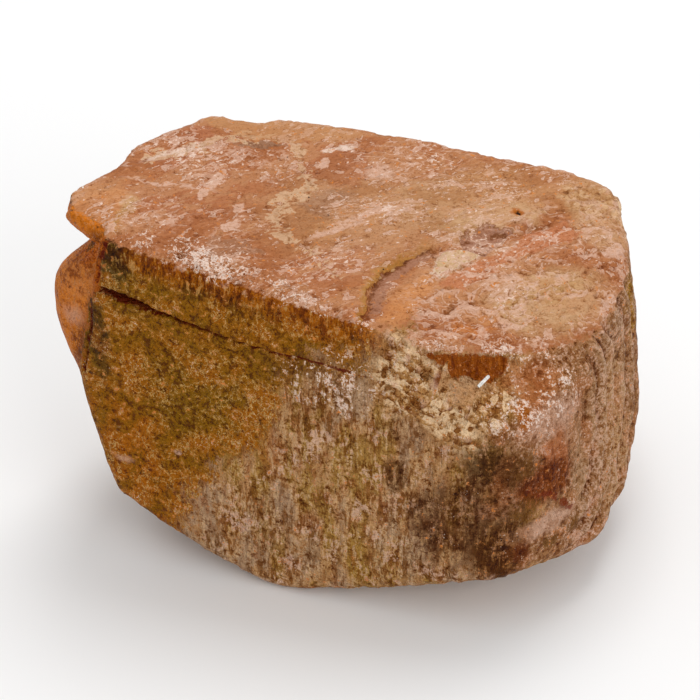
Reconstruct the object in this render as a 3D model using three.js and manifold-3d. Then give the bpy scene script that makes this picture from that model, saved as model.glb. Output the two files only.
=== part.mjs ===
// Rough moonstone: one cleavage block of peach feldspar, standing on a small flat spot.
// Millimetres and degrees, +Z up, origin on the ground at the middle of the stone's outline.
//
// The stone is a sphere drawn in onto a set of broken faces. Four chunks make the outline: the
// block, a cleavage slab on its right-hand end, a knob at the top of the left end and a round
// lobe below it. Low relief lies over the faces, and the open cracks are cut out of the solid.

import * as THREE from 'three';
import { ImprovedNoise } from 'three/addons/math/ImprovedNoise.js';
import { mergeVertices } from 'three/addons/utils/BufferGeometryUtils.js';
import Module from 'manifold-3d';

// ---------------------------------------------------------------- driving dimensions: the faces

// A face looks towards an azimuth (anticlockwise from +X) and an elevation, and lies at a
// distance from the heart of its chunk.
function face(azimuth, elevation, distance) {
  const turn = THREE.MathUtils.degToRad(azimuth);
  const rise = THREE.MathUtils.degToRad(elevation);
  const level = Math.cos(rise);
  const normal = new THREE.Vector3(level * Math.cos(turn), level * Math.sin(turn), Math.sin(rise));
  return { normal, distance };
}

const HEART = new THREE.Vector3(0, 0, 19);

// Faces that the block and the slab have in common.
const SHARED_FACES = {
  top: face(351, 80.5, 15.6),
  front: face(251, 3, 14.1),
  frontCorner: face(286, 3, 22.6),
  left: face(176, 11, 27.1),
  leftLow: face(184, -14, 26.6),
  underLeft: face(203, -58, 22.8),
  underFront: face(285, -61, 22),
  rightNear: face(316, 4, 25.6),
  rightFar: face(340, 6, 26.6),
  rightEnd: face(6, 10, 30.8),
  underRight: face(330, -48, 29.5),
  underRightLow: face(300, -58, 24.6),
  underRightMid: face(345, -40, 32.6),
  underRightFar: face(352, -16, 34.2),
  shoulderFar: face(330, 58, 20.5),
  back: face(87, 3, 21.3),
  backRight: face(77, 3, 23.3),
  backTop: face(96, 42, 28.2),
  backLeft: face(137, 6, 26),
  rightBack: face(48, 8, 32.9),
  underBack: face(80, -38, 20.2),
  underBackRight: face(28, -42, 27),
  underBackLeft: face(140, -35, 22.2),
  footRight: face(355, -72, 21.6),
  footBack: face(85, -70, 20.8),
  rest: face(0, -90, 19),
};

const BLOCK = {
  heart: HEART,
  rounding: 0.35,
  faces: { ...SHARED_FACES, shoulder: face(300, 56, 17.9) },
};

// The slab ends in a low cliff, a few millimetres above the shoulder.
const SLAB = {
  heart: HEART,
  rounding: 0.35,
  faces: {
    ...SHARED_FACES,
    slabTop: face(333, 69, 17.3),
    cliff: face(290, 4, 18.3),
    cliffEnd: face(325, 25, 24.8),
  },
};

const KNOB = {
  heart: new THREE.Vector3(-25.2, -0.5, 37.6),
  rounding: 0.35,
  faces: {
    top: face(351, 80.5, 1.2),
    tip: face(190, 20, 3),
    front: face(252, 38, 2.3),
    side: face(225, 5, 3.5),
    under: face(222, -38, 1.7),
    back: face(142, 6, 3.9),
    root: face(0, 0, 2.7),
    foot: face(0, -90, 4.1),
  },
};

const LOBE = {
  heart: new THREE.Vector3(-25.2, 0, 27),
  rounding: 0.6,
  faces: {
    west: face(186, 2, 4.9),
    front: face(236, 8, 3.9),
    top: face(205, 50, 6.4),
    topBack: face(150, 45, 6.1),
    under: face(190, -30, 6.6),
    underLow: face(200, -14, 5),
    back: face(125, 10, 5.4),
    root: face(0, 0, 2.2),
    foot: face(0, -90, 12),
  },
};

const SEAM_ROUNDING = 0.25;

// ---------------------------------------------------------------- driving dimensions: the relief

// Slow waves that keep the faces from being flat, and a finer grain of chips on them.
const SWELL = { height: 0.45, length: 11 };
const CHIPS = { height: 0.32, length: 3.6 };

// The crack across the front face, as heights over the face's own level axis, left to right.
const CRACK_UPPER = [[-25, 32.9], [-20.5, 32.6], [-17.5, 32.2], [-12.5, 30.8], [-7, 29.6], [2, 29]];
const CRACK_LOWER = [[2, 28.9], [-7, 29.3], [-12.5, 30.2], [-17, 31.2], [-20.5, 31.7], [-25, 31.8]];
const CRACK_DEPTH = 2.4;
const CRACK_TAPER = 4;
const PROUD_SLAB = { height: 0.55, edge: 0.2, end: 4 };

// The short open seam beside the knob's neck.
const NECK_SEAM = [[-20.3, 40], [-20.8, 37.4], [-21.5, 33.2], [-21.8, 33.4], [-21.4, 37.4], [-20.7, 40]];
const NECK_SEAM_DEPTH = 1.4;

// The trough between the upper cleavage and the slab, as a line seen from above.
const TROUGH_LINE = [[2, -14], [4, -9], [6, -4.5], [10, -1], [14, 3], [18, 7]];
const TROUGH = { depth: 0.6, width: 1.3, fade: 4 };

// Long ridges that run up the slab, and flutes that run down the right-hand end.
const SLAB_RIDGES = { height: 0.3, spacing: 4.2, azimuth: 115, fromX: 5, fade: 3 };
const RIDGE_WANDER = { height: 0.7, length: 8 };
const FLUTES = { height: 0.42, spacing: 4.2, lean: 0.12, fromX: 22.5, fade: 3, fromY: 0, toY: 6 };
const FLUTE_WANDER = { height: 1, length: 9 };

// Crumbled places: where the corner has broken up into grains, and how far they stand out. They
// are at full height over the core, which is a share of the radius.
const CRUMBLED = [
  { centre: new THREE.Vector3(7, -16.5, 28), radius: 6.5, height: 0.75, grain: 1.9 },
  { centre: new THREE.Vector3(26.5, 11.5, 31), radius: 6, height: 0.8, grain: 2.6 },
  { centre: new THREE.Vector3(-20, 14, 26), radius: 9, height: 0.7, grain: 3.2 },
];
const CRUMBLED_CORE = 0.4;

// Shell-shaped breaks on the hidden sides: balls that have bitten into the faces.
const BITES = [
  { centre: new THREE.Vector3(9, 35.5, 15), radius: 15.5 },
  { centre: new THREE.Vector3(-12, 27, 34), radius: 8 },
  { centre: new THREE.Vector3(37, 14, 10), radius: 11 },
];
const BITE_ROUNDING = 0.4;

// A terrace across the back: the part above the slanted line stands out.
const TERRACE = { height: 0.9, level: 21, slope: 0.32, softness: 0.35 };

const PIT = { centre: new THREE.Vector3(17.3, 8.6, 32.6), radius: 0.55 };
const CHIP_BLOCK = { size: [2.2, 2, 1.6], centre: [8.6, -14.9, 28.6], azimuth: 22 };

// Relief that belongs to a face starts this far behind it and is at full height at the second.
const FACE_MARGIN = { from: 1.6, to: 0.6 };

// Relief dies out over this band above the ground, so that the foot stays flat.
const GROUND_BAND = { from: 0.2, to: 1.6 };

// ---------------------------------------------------------------- driving dimensions: the mesh

const SPHERE_DETAIL = 20;
const START_RADIUS = 45;
const EVENING_PASSES = 14;
const SHARPENING = { hold: 0.12, reach: 0.05, furthest: 0.8 };
const RELIEF_REACH = 0.4;
const REST_BAND = 0.08;

// ---------------------------------------------------------------- outline

function softMax(values, rounding) {
  const highest = Math.max(...values);
  let sum = 0;
  for (const value of values) sum += Math.exp((value - highest) / rounding);
  return highest + rounding * Math.log(sum);
}

function depthBehind({ normal, distance }, point, heart) {
  return normal.dot(point) - normal.dot(heart) - distance;
}

// Distance to a chunk's surface, negative inside it.
function chunkDistance({ heart, rounding, faces }, point) {
  return softMax(Object.values(faces).map((each) => depthBehind(each, point, heart)), rounding);
}

// Distance to the stone's outline: the four chunks together, less the bites.
function outlineDistance(point) {
  const chunks = [BLOCK, SLAB, KNOB, LOBE].map((chunk) => -chunkDistance(chunk, point));
  const whole = -softMax(chunks, SEAM_ROUNDING);
  return BITES.reduce((distance, { centre, radius }) => {
    return softMax([distance, radius - point.distanceTo(centre)], BITE_ROUNDING);
  }, whole);
}

// The direction in which the distance to the outline grows fastest, taken over a small reach.
function outlineNormal(point, reach) {
  const normal = new THREE.Vector3();
  for (const axis of ['x', 'y', 'z']) {
    const ahead = point.clone();
    const behind = point.clone();
    ahead[axis] += reach;
    behind[axis] -= reach;
    normal[axis] = outlineDistance(ahead) - outlineDistance(behind);
  }
  return normal.normalize();
}

// ---------------------------------------------------------------- relief

const { smoothstep } = THREE.MathUtils;
const noise = new ImprovedNoise();

function roughness(point, length) {
  return noise.noise(point.x / length, point.y / length, point.z / length);
}

function bumps(point, { height, length }) {
  return height * roughness(point, length);
}

// 1 on the given face and 0 a little behind it.
function onFace(eachFace, point) {
  return smoothstep(depthBehind(eachFace, point, HEART), -FACE_MARGIN.from, -FACE_MARGIN.to);
}

function heightAlong(line, x) {
  const next = line.findIndex(([end]) => end > x);
  if (next <= 0) return next === 0 ? line[0][1] : line[line.length - 1][1];
  const [[x0, y0], [x1, y1]] = [line[next - 1], line[next]];
  return THREE.MathUtils.mapLinear(x, x0, x1, y0, y1);
}

// The front face's level axis, which the crack and the neck seam are drawn along.
const FRONT_TURN = Math.atan2(SHARED_FACES.front.normal.x, -SHARED_FACES.front.normal.y);

function alongFront(point) {
  return point.x * Math.cos(FRONT_TURN) + point.y * Math.sin(FRONT_TURN);
}

// The front face stands out above the crack.
function proudSlab(point) {
  const along = alongFront(point);
  const { height, edge, end } = PROUD_SLAB;
  const above = smoothstep(point.z - heightAlong(CRACK_UPPER, along), -edge, edge);
  const fade = 1 - smoothstep(along, -end, end);
  return height * above * fade * onFace(SHARED_FACES.front, point);
}

function trough(point) {
  const { depth, width, fade } = TROUGH;
  const [first] = TROUGH_LINE[0];
  const [last] = TROUGH_LINE[TROUGH_LINE.length - 1];
  const begun = smoothstep(point.x, first - width, first);
  const ended = smoothstep(point.x, last - fade, last);
  const across = (point.y - heightAlong(TROUGH_LINE, point.x)) / width;
  return -depth * begun * (1 - ended) * Math.exp(-across * across) * onFace(SHARED_FACES.top, point);
}

function slabRidges(point) {
  const { height, spacing, azimuth, fromX, fade } = SLAB_RIDGES;
  const turn = THREE.MathUtils.degToRad(azimuth);
  const across = point.x * Math.cos(turn) + point.y * Math.sin(turn) + bumps(point, RIDGE_WANDER);
  const saw = across / spacing - Math.floor(across / spacing);
  const place = smoothstep(point.x, fromX, fromX + fade) * onFace(SLAB.faces.slabTop, point);
  return height * (saw - 0.5) * place;
}

function flutes(point) {
  const { height, spacing, lean, fromX, fade, fromY, toY } = FLUTES;
  const across = point.y + lean * point.z + bumps(point, FLUTE_WANDER);
  const place = smoothstep(point.x, fromX, fromX + fade) * (1 - smoothstep(point.y, fromY, toY));
  const wave = Math.cos((2 * Math.PI * across) / spacing);
  return height * wave * place * (1 - onFace(SHARED_FACES.top, point));
}

function crumbled(point) {
  let sum = 0;
  for (const { centre, radius, height, grain } of CRUMBLED) {
    const nearness = 1 - smoothstep(point.distanceTo(centre), CRUMBLED_CORE * radius, radius);
    sum += height * nearness * roughness(point, grain);
  }
  return sum;
}

function terrace(point) {
  const { height, level, slope, softness } = TERRACE;
  const above = point.z - level - slope * point.x;
  return height * smoothstep(above, -softness, softness) * onFace(SHARED_FACES.back, point);
}

function relief(point) {
  const clearOfGround = smoothstep(point.z, GROUND_BAND.from, GROUND_BAND.to);
  const sum = bumps(point, SWELL) + bumps(point, CHIPS) + crumbled(point) + proudSlab(point)
    + trough(point) + slabRidges(point) + flutes(point) + terrace(point);
  return sum * clearOfGround;
}

// ---------------------------------------------------------------- from a sphere to the stone

const CLOSE_ENOUGH = 1e-4;
const MOST_STEPS = 90;
const CAUTION = 0.9;

// Walks in from outside along a direction from the heart until it meets the outline.
function outlinePoint(direction) {
  const point = new THREE.Vector3();
  let radius = START_RADIUS;
  for (let step = 0; step < MOST_STEPS; step += 1) {
    point.copy(direction).multiplyScalar(radius).add(HEART);
    const gap = outlineDistance(point);
    if (Math.abs(gap) < CLOSE_ENOUGH) break;
    radius -= CAUTION * gap;
  }
  return point;
}

function neighboursOf(index, count) {
  const neighbours = Array.from({ length: count }, () => new Set());
  for (let corner = 0; corner < index.count; corner += 3) {
    const triangle = [0, 1, 2].map((step) => index.getX(corner + step));
    for (const a of triangle) for (const b of triangle) if (a !== b) neighbours[a].add(b);
  }
  return neighbours.map((set) => [...set]);
}

// Slides every point towards the middle of its neighbours and back to the outline, so that all
// triangles come out about the same size.
function evenOut(points, neighbours) {
  return points.map((point, vertex) => {
    const middle = new THREE.Vector3();
    for (const other of neighbours[vertex]) middle.add(points[other]);
    middle.divideScalar(neighbours[vertex].length);
    return outlinePoint(middle.sub(HEART).normalize());
  });
}

// Moves every point to where the outline's planes, taken half way to each neighbour, meet: one
// beside a ridge lands on it, and one on a flat face stays.
function sharpen(points, neighbours) {
  const { hold, reach, furthest } = SHARPENING;
  return points.map((point, vertex) => {
    const sums = [hold, 0, 0, 0, hold, 0, 0, 0, hold];
    const pull = new THREE.Vector3();
    for (const other of neighbours[vertex]) {
      const half = point.clone().lerp(points[other], 0.5);
      const normal = outlineNormal(half, reach);
      const [x, y, z] = normal.toArray();
      [x * x, x * y, x * z, y * x, y * y, y * z, z * x, z * y, z * z].forEach((product, entry) => {
        sums[entry] += product;
      });
      pull.addScaledVector(normal, normal.dot(half) - normal.dot(point) - outlineDistance(half));
    }
    pull.applyMatrix3(new THREE.Matrix3().set(...sums).invert());
    return pull.clampLength(0, furthest).add(point);
  });
}

function withRelief(point) {
  const raised = point.clone().addScaledVector(outlineNormal(point, RELIEF_REACH), relief(point));
  if (raised.z < REST_BAND) raised.z = 0;
  return raised;
}

function makeStoneGeometry() {
  const sphere = new THREE.IcosahedronGeometry(1, SPHERE_DETAIL);
  sphere.deleteAttribute('normal');
  sphere.deleteAttribute('uv');
  const geometry = mergeVertices(sphere);
  const positions = geometry.getAttribute('position');
  const neighbours = neighboursOf(geometry.getIndex(), positions.count);
  let points = neighbours.map((_, vertex) => {
    return outlinePoint(new THREE.Vector3().fromBufferAttribute(positions, vertex).normalize());
  });
  for (let pass = 0; pass < EVENING_PASSES; pass += 1) points = evenOut(points, neighbours);
  points = sharpen(points, neighbours).map(withRelief);
  points.forEach(({ x, y, z }, vertex) => positions.setXYZ(vertex, x, y, z));
  return geometry;
}

// ---------------------------------------------------------------- cuts and joins

const wasm = await Module();
wasm.setup();

function toSolid(geometry) {
  const bare = geometry.clone();
  bare.deleteAttribute('normal');
  bare.deleteAttribute('uv');
  const merged = mergeVertices(bare);
  const mesh = new wasm.Mesh({
    numProp: 3,
    vertProperties: new Float32Array(merged.getAttribute('position').array),
    triVerts: new Uint32Array(merged.getIndex().array),
  });
  return new wasm.Manifold(mesh);
}

function toGeometry(solid) {
  const { vertProperties, triVerts } = solid.getMesh();
  const geometry = new THREE.BufferGeometry();
  geometry.setAttribute('position', new THREE.Float32BufferAttribute(vertProperties, 3));
  geometry.setIndex(new THREE.Uint32BufferAttribute(triVerts, 1));
  return geometry;
}

// A wedge drawn on the front face and driven into it, running out towards its right-hand end. It
// starts clear of the face, as far out as it goes in.
function frontWedge(outline, depth, taper) {
  const shape = new THREE.Shape(outline.map(([along, height]) => new THREE.Vector2(along, height)));
  const wedge = new THREE.ExtrudeGeometry(shape, { depth: 2 * depth, bevelEnabled: false });
  const { distance } = SHARED_FACES.front;
  wedge.rotateX(Math.PI / 2);
  wedge.translate(0, depth - distance, 0);
  wedge.rotateZ(FRONT_TURN - THREE.MathUtils.degToRad(taper));
  return wedge;
}

function makePit() {
  const pit = new THREE.IcosahedronGeometry(PIT.radius, 1);
  pit.translate(PIT.centre.x, PIT.centre.y, PIT.centre.z);
  return pit;
}

// The little block of rock left standing against the cliff.
function makeChipBlock() {
  const block = new THREE.BoxGeometry(...CHIP_BLOCK.size);
  block.rotateZ(THREE.MathUtils.degToRad(CHIP_BLOCK.azimuth));
  block.translate(...CHIP_BLOCK.centre);
  return block;
}

function makeMoonstone() {
  const solid = toSolid(makeStoneGeometry())
    .add(toSolid(makeChipBlock()))
    .subtract(toSolid(frontWedge([...CRACK_UPPER, ...CRACK_LOWER], CRACK_DEPTH, CRACK_TAPER)))
    .subtract(toSolid(frontWedge(NECK_SEAM, NECK_SEAM_DEPTH, 0)))
    .subtract(toSolid(makePit()));
  const geometry = toGeometry(solid);
  geometry.computeBoundingBox();
  const middle = geometry.boundingBox.getCenter(new THREE.Vector3());
  geometry.translate(-middle.x, -middle.y, 0);
  geometry.computeVertexNormals();
  return geometry;
}

// ---------------------------------------------------------------- the part

const PEACH_FELDSPAR = new THREE.MeshStandardMaterial({ color: 0xc98f66, roughness: 0.55, metalness: 0 });

const moonstone = new THREE.Mesh(makeMoonstone(), PEACH_FELDSPAR);
moonstone.name = 'moonstone';

const stone = new THREE.Group();
stone.add(moonstone);

export default stone;
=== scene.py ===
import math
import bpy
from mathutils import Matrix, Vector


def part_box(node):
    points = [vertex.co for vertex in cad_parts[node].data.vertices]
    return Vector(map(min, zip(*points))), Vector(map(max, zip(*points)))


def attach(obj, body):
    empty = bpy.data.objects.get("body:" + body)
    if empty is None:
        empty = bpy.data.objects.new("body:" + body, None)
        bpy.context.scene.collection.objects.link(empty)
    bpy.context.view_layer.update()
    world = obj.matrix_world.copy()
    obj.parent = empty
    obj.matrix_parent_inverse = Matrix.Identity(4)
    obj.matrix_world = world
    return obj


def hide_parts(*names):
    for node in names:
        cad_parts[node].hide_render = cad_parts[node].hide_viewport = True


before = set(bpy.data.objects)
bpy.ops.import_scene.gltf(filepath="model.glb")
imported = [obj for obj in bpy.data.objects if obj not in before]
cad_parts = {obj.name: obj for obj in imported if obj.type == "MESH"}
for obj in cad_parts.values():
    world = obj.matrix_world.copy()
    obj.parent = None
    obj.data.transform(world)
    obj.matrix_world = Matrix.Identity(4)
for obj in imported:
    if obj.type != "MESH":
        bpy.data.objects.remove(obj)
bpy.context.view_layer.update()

# Rough moonstone: a cleavage block of peach feldspar. One fine mesh stands for the CAD solid. It is a
# sphere drawn in onto the same broken faces, then carved with steps, chips, cracks and grains.
# Lengths in this file are millimetres in the stone's own frame, whose heart is 19 above the ground;
# METRE turns them into Blender's metres at the end. Azimuths and elevations are in degrees.

import types

import bpy
import numpy as np
from mathutils import Vector, noise

METRE = 0.001
NODE = "moonstone"

# ------------------------------------------------------------------------------ the broken faces

HEART = np.array([0.0, 0.0, 19.0])


def towards(azimuth, elevation):
    """The unit vector that looks towards an azimuth (anticlockwise from +X) and an elevation."""
    turn, rise = math.radians(azimuth), math.radians(elevation)
    return np.array([math.cos(rise) * math.cos(turn), math.cos(rise) * math.sin(turn), math.sin(rise)])


def chunk(heart, rounding, faces):
    """A convex lump: each face looks along its normal and lies at its distance from the heart."""
    normals = np.array([towards(azimuth, elevation) for azimuth, elevation, _ in faces.values()])
    reach = normals @ np.asarray(heart) + [distance for _, _, distance in faces.values()]
    return {"normals": normals, "reach": reach, "rounding": rounding, "names": list(faces)}


SHARED_FACES = {
    "top": (351, 80.5, 15.6),
    "front": (251, 3, 14.1),
    "front_corner": (286, 3, 22.6),
    "left": (176, 11, 27.1),
    "left_low": (184, -14, 26.6),
    "under_left": (203, -58, 22.8),
    "under_front": (285, -61, 22),
    "right_near": (316, 4, 25.6),
    "right_far": (340, 6, 26.6),
    "right_end": (6, 10, 30.8),
    "under_right": (330, -48, 29.5),
    "under_right_low": (300, -58, 24.6),
    "under_right_mid": (345, -40, 32.6),
    "under_right_far": (352, -16, 34.2),
    "shoulder_far": (330, 58, 20.5),
    "back": (87, 3, 21.3),
    "back_right": (77, 3, 23.3),
    "back_top": (96, 42, 28.2),
    "back_left": (137, 6, 26),
    "right_back": (48, 8, 32.9),
    "under_back": (80, -38, 20.2),
    "under_back_right": (28, -42, 27),
    "under_back_left": (140, -35, 22.2),
    "foot_right": (355, -72, 21.6),
    "foot_back": (85, -70, 20.8),
    "rest": (0, -90, 19),
}
ROUNDED_CORNERS = {
    "front_bend": (268, 3, 18.85),
    "near_corner": (301, 4, 24.45),
    "far_corner": (328, 5, 26.3),
    "end_corner": (353, 8, 28.9),
}
SIDES = {**SHARED_FACES, **ROUNDED_CORNERS}
BLOCK = chunk(HEART, 0.55, {**SIDES, "shoulder": (300, 56, 17.9)})
SLAB = chunk(HEART, 0.5, {
    **SIDES,
    "slab_top": (333, 69, 17.3),
    "cliff": (290, 4, 18.3),
    "cliff_end": (325, 25, 24.8),
})
KNOB = chunk((-25.2, -0.5, 37.6), 0.35, {
    "top": (351, 80.5, 1.2),
    "tip": (190, 20, 3),
    "front": (252, 38, 2.3),
    "side": (225, 5, 3.5),
    "under": (222, -38, 1.7),
    "back": (142, 6, 3.9),
    "root": (0, 0, 2.7),
    "foot": (0, -90, 4.1),
})
LOBE = chunk((-25.2, 0, 27), 0.6, {
    "west": (186, 2, 4.9),
    "front": (236, 8, 3.9),
    "top": (205, 50, 6.4),
    "top_back": (150, 45, 6.1),
    "under": (190, -30, 6.6),
    "under_low": (200, -14, 5),
    "back": (125, 10, 5.4),
    "root": (0, 0, 2.2),
    "foot": (0, -90, 12),
})
CHIP_MIDDLE = np.array([8.7, -15.1, 28.6])
CHIP_BLOCK = chunk(CHIP_MIDDLE, 0.12, {
    "east": (22, 0, 1.1),
    "west": (202, 0, 1.1),
    "north": (112, 0, 1.2),
    "south": (292, 8, 1.0),
    "top": (310, 78, 1.0),
    "bottom": (0, -90, 2.5),
})
CHUNKS = [BLOCK, SLAB, KNOB, LOBE, CHIP_BLOCK]
SEAM_ROUNDING = 0.25

# Round bites out of the chunks: centre and radius.
BITES = [((9, 35.5, 15), 15.5), ((-12, 27, 34), 8), ((37, 14, 10), 11)]
BITE_ROUNDING = 0.4


def soft_max(values, rounding):
    """Row by row, the largest value with its corner rounded off, and each value's share in it."""
    highest = values.max(axis=1, keepdims=True)
    weights = np.exp((values - highest) / rounding)
    total = weights.sum(axis=1, keepdims=True)
    return highest[:, 0] + rounding * np.log(total[:, 0]), weights / total


def outline(points):
    """Distance to the stone's outline, negative inside, and the direction in which it grows."""
    distances = np.empty((len(points), len(CHUNKS)))
    slopes = np.empty((len(points), len(CHUNKS), 3))
    for index, each in enumerate(CHUNKS):
        behind = points @ each["normals"].T - each["reach"]
        distances[:, index], shares = soft_max(behind, each["rounding"])
        slopes[:, index] = shares @ each["normals"]
    deepest, shares = soft_max(-distances, SEAM_ROUNDING)
    distance = -deepest
    slope = np.einsum("pc,pcx->px", shares, slopes)
    for centre, radius in BITES:
        away = points - centre
        length = np.linalg.norm(away, axis=1)
        distance, shares = soft_max(np.stack([distance, radius - length], axis=1), BITE_ROUNDING)
        slope = shares[:, :1] * slope - shares[:, 1:] * away / length[:, None]
    return distance, slope / np.linalg.norm(slope, axis=1, keepdims=True)


# ------------------------------------------------------------------------------ sphere to outline

BASE_FREQUENCY = 3
# At each stage the mesh is doubled once, and its points are then evened out this many times.
EVENING_PASSES = [40, 30, 16, 10, 6]
START_RADIUS = 45.0
CAUTION = 0.9
CLOSE_ENOUGH = 2e-4
MOST_STEPS = 70
SEEN_RISE = 35.0
SEEN_FROM = towards(270, SEEN_RISE)
SEEN_DENSITY = 0.30
SEEN_MARGIN = 0.25


def smoothstep(value, low, high):
    share = np.clip((value - low) / (high - low), 0, 1)
    return share * share * (3 - 2 * share)


def first_sphere(frequency):
    """An icosahedron with each face cut into frequency squared triangles."""
    golden = (1 + math.sqrt(5)) / 2
    corners = np.array([
        (-1, golden, 0), (1, golden, 0), (-1, -golden, 0), (1, -golden, 0),
        (0, -1, golden), (0, 1, golden), (0, -1, -golden), (0, 1, -golden),
        (golden, 0, -1), (golden, 0, 1), (-golden, 0, -1), (-golden, 0, 1),
    ])
    sides = [
        (0, 11, 5), (0, 5, 1), (0, 1, 7), (0, 7, 10), (0, 10, 11), (1, 5, 9), (5, 11, 4),
        (11, 10, 2), (10, 7, 6), (7, 1, 8), (3, 9, 4), (3, 4, 2), (3, 2, 6), (3, 6, 8),
        (3, 8, 9), (4, 9, 5), (2, 4, 11), (6, 2, 10), (8, 6, 7), (9, 8, 1),
    ]
    places, triangles = {}, []

    def place(point):
        key = tuple(np.round(point, 6))
        return places.setdefault(key, len(places))

    for a, b, c in sides:
        def spot(across, down):
            along = frequency - across - down
            return (corners[a] * along + corners[b] * across + corners[c] * down) / frequency
        for down in range(frequency):
            for across in range(frequency - down):
                first = place(spot(across, down))
                second = place(spot(across + 1, down))
                third = place(spot(across, down + 1))
                triangles.append((first, second, third))
                if across + down < frequency - 1:
                    triangles.append((second, place(spot(across + 1, down + 1)), third))
    points = np.array(list(places))
    return points / np.linalg.norm(points, axis=1, keepdims=True), np.array(triangles)


def edges_of(triangles):
    pairs = np.sort(triangles[:, [0, 1, 1, 2, 2, 0]].reshape(-1, 2), axis=1)
    return np.unique(pairs, axis=0, return_inverse=True)


def doubled(points, triangles):
    """Cuts every triangle into four."""
    edges, where = edges_of(triangles)
    middles = len(points) + where.reshape(-1, 3)
    a, b, c = triangles.T
    ab, bc, ca = middles.T
    split = [(a, ab, ca), (ab, b, bc), (ca, bc, c), (ab, bc, ca)]
    finer = np.concatenate([np.stack(corner, axis=1) for corner in split])
    return np.concatenate([points, points[edges].mean(axis=1)]), finer


def onto_outline(points):
    """Moves each point along its ray from the heart until it lies on the outline."""
    rays = points - HEART
    radii = np.linalg.norm(rays, axis=1)
    rays /= radii[:, None]
    walking = np.arange(len(points))
    for _ in range(MOST_STEPS):
        gap, _ = outline(HEART + rays[walking] * radii[walking, None])
        radii[walking] -= CAUTION * gap
        walking = walking[np.abs(gap) > CLOSE_ENOUGH]
        if len(walking) == 0:
            break
    return HEART + rays * radii[:, None]


def evened(points, edges, passes):
    """Slides the points to the middle of their neighbours, closer together where they are seen."""
    first, second = edges.T
    count = len(points)
    for _ in range(passes):
        facing = (points - HEART) @ SEEN_FROM / np.linalg.norm(points - HEART, axis=1)
        pull = 1 + SEEN_DENSITY * smoothstep(facing, -SEEN_MARGIN, SEEN_MARGIN)
        total = np.bincount(first, pull[second], count) + np.bincount(second, pull[first], count)
        middle = np.stack([
            np.bincount(first, pull[second] * points[second, axis], count)
            + np.bincount(second, pull[first] * points[first, axis], count)
            for axis in range(3)
        ], axis=1) / total[:, None]
        points = onto_outline(middle)
    return points


def outline_mesh():
    directions, triangles = first_sphere(BASE_FREQUENCY)
    points = onto_outline(HEART + START_RADIUS * directions)
    for passes in EVENING_PASSES:
        points, triangles = doubled(points, triangles)
        points = evened(onto_outline(points), edges_of(triangles)[0], passes)
    return points, triangles


# ------------------------------------------------------------------------------ fields on the stone

def turned(points, azimuth):
    """The points with their level axes turned, so that the first one runs along an azimuth."""
    turn = math.radians(azimuth)
    along = points[:, 0] * math.cos(turn) + points[:, 1] * math.sin(turn)
    across = -points[:, 0] * math.sin(turn) + points[:, 1] * math.cos(turn)
    return np.stack([along, across, points[:, 2]], axis=1)


def waves(points, lengths, octaves=1, shift=0.0, fading=1.0):
    """Smooth noise of about -1 to 1, whose waves are so long along each axis."""
    scaled = (points / lengths + shift).tolist()
    return np.array([noise.fractal(each, fading, 2.0, octaves) for each in scaled])


def steps(value, riser):
    """Turns a slope into level treads with a short riser between them."""
    tread = np.floor(value)
    return tread + smoothstep(value - tread, 0, riser)


def behind(name, points, lump=BLOCK):
    """How far each point lies behind a face of a lump."""
    index = lump["names"].index(name)
    return lump["reach"][index] - points @ lump["normals"][index]


def on_face(name, points, near=0.4, far=1.6, lump=BLOCK):
    """1 on a face of a lump and 0 a little behind it."""
    return 1 - smoothstep(behind(name, points, lump), near, far)


def from_line(points, line):
    """Distance to a line drawn through space, how far along it the nearest place is, and the side."""
    line = np.asarray(line, float)
    nearest = np.full(len(points), np.inf)
    along, side = np.zeros((2, len(points)))
    travelled = 0.0
    for start, end in zip(line, line[1:]):
        stretch = end - start
        length = np.linalg.norm(stretch)
        share = np.clip((points - start) @ stretch / length**2, 0, 1)
        gap = np.linalg.norm(points - start - share[:, None] * stretch, axis=1)
        closer = gap < nearest
        nearest[closer] = gap[closer]
        turn = stretch[0] * (points[:, 1] - start[1]) - stretch[1] * (points[:, 0] - start[0])
        side[closer] = np.sign(turn)[closer]
        along[closer] = travelled + share[closer] * length
        travelled += length
    return nearest, along / travelled, side


def within(points, corners):
    """Distance to a closed outline drawn in x and y, negative inside."""
    corners = np.asarray(corners, float)
    nearest = np.full(len(points), np.inf)
    inside = np.zeros(len(points), bool)
    for start, end in zip(corners, np.roll(corners, -1, axis=0)):
        stretch = end - start
        local = points[:, :2] - start
        share = np.clip(local @ stretch / (stretch @ stretch), 0, 1)
        nearest = np.minimum(nearest, np.linalg.norm(local - share[:, None] * stretch, axis=1))
        straddled = (start[1] > points[:, 1]) != (end[1] > points[:, 1])
        crossing = start[0] + local[:, 1] * stretch[0] / (stretch[1] or 1e-9)
        inside ^= straddled & (points[:, 0] < crossing)
    return np.where(inside, -nearest, nearest)


def blob(points, centre, radii, azimuth=0.0, softness=0.5):
    """1 inside an ellipsoid whose first radius runs along an azimuth, fading out at its rim."""
    local = turned(points - centre, azimuth) / radii
    return 1 - smoothstep(np.linalg.norm(local, axis=1), 1 - softness, 1 + softness)


# ------------------------------------------------------------------------------ relief

# The front runs along this azimuth.
FRONT_TURN = 341.0
# The crack along the front: how far along, height and half its width.
CRACK = [(-25, 32.7, 0.4), (-21.3, 32.5, 0.5), (-19.5, 32.15, 0.62), (-17.6, 31.85, 0.6),
         (-16.3, 31.5, 0.42), (-13.6, 31, 0.2), (-10.5, 30.4, 0.14), (-6.8, 29.8, 0.1),
         (-2.6, 29.3, 0.08), (2.6, 28.9, 0.06), (6, 28.6, 0)]
CRACK_DEPTH = 1.5
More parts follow.
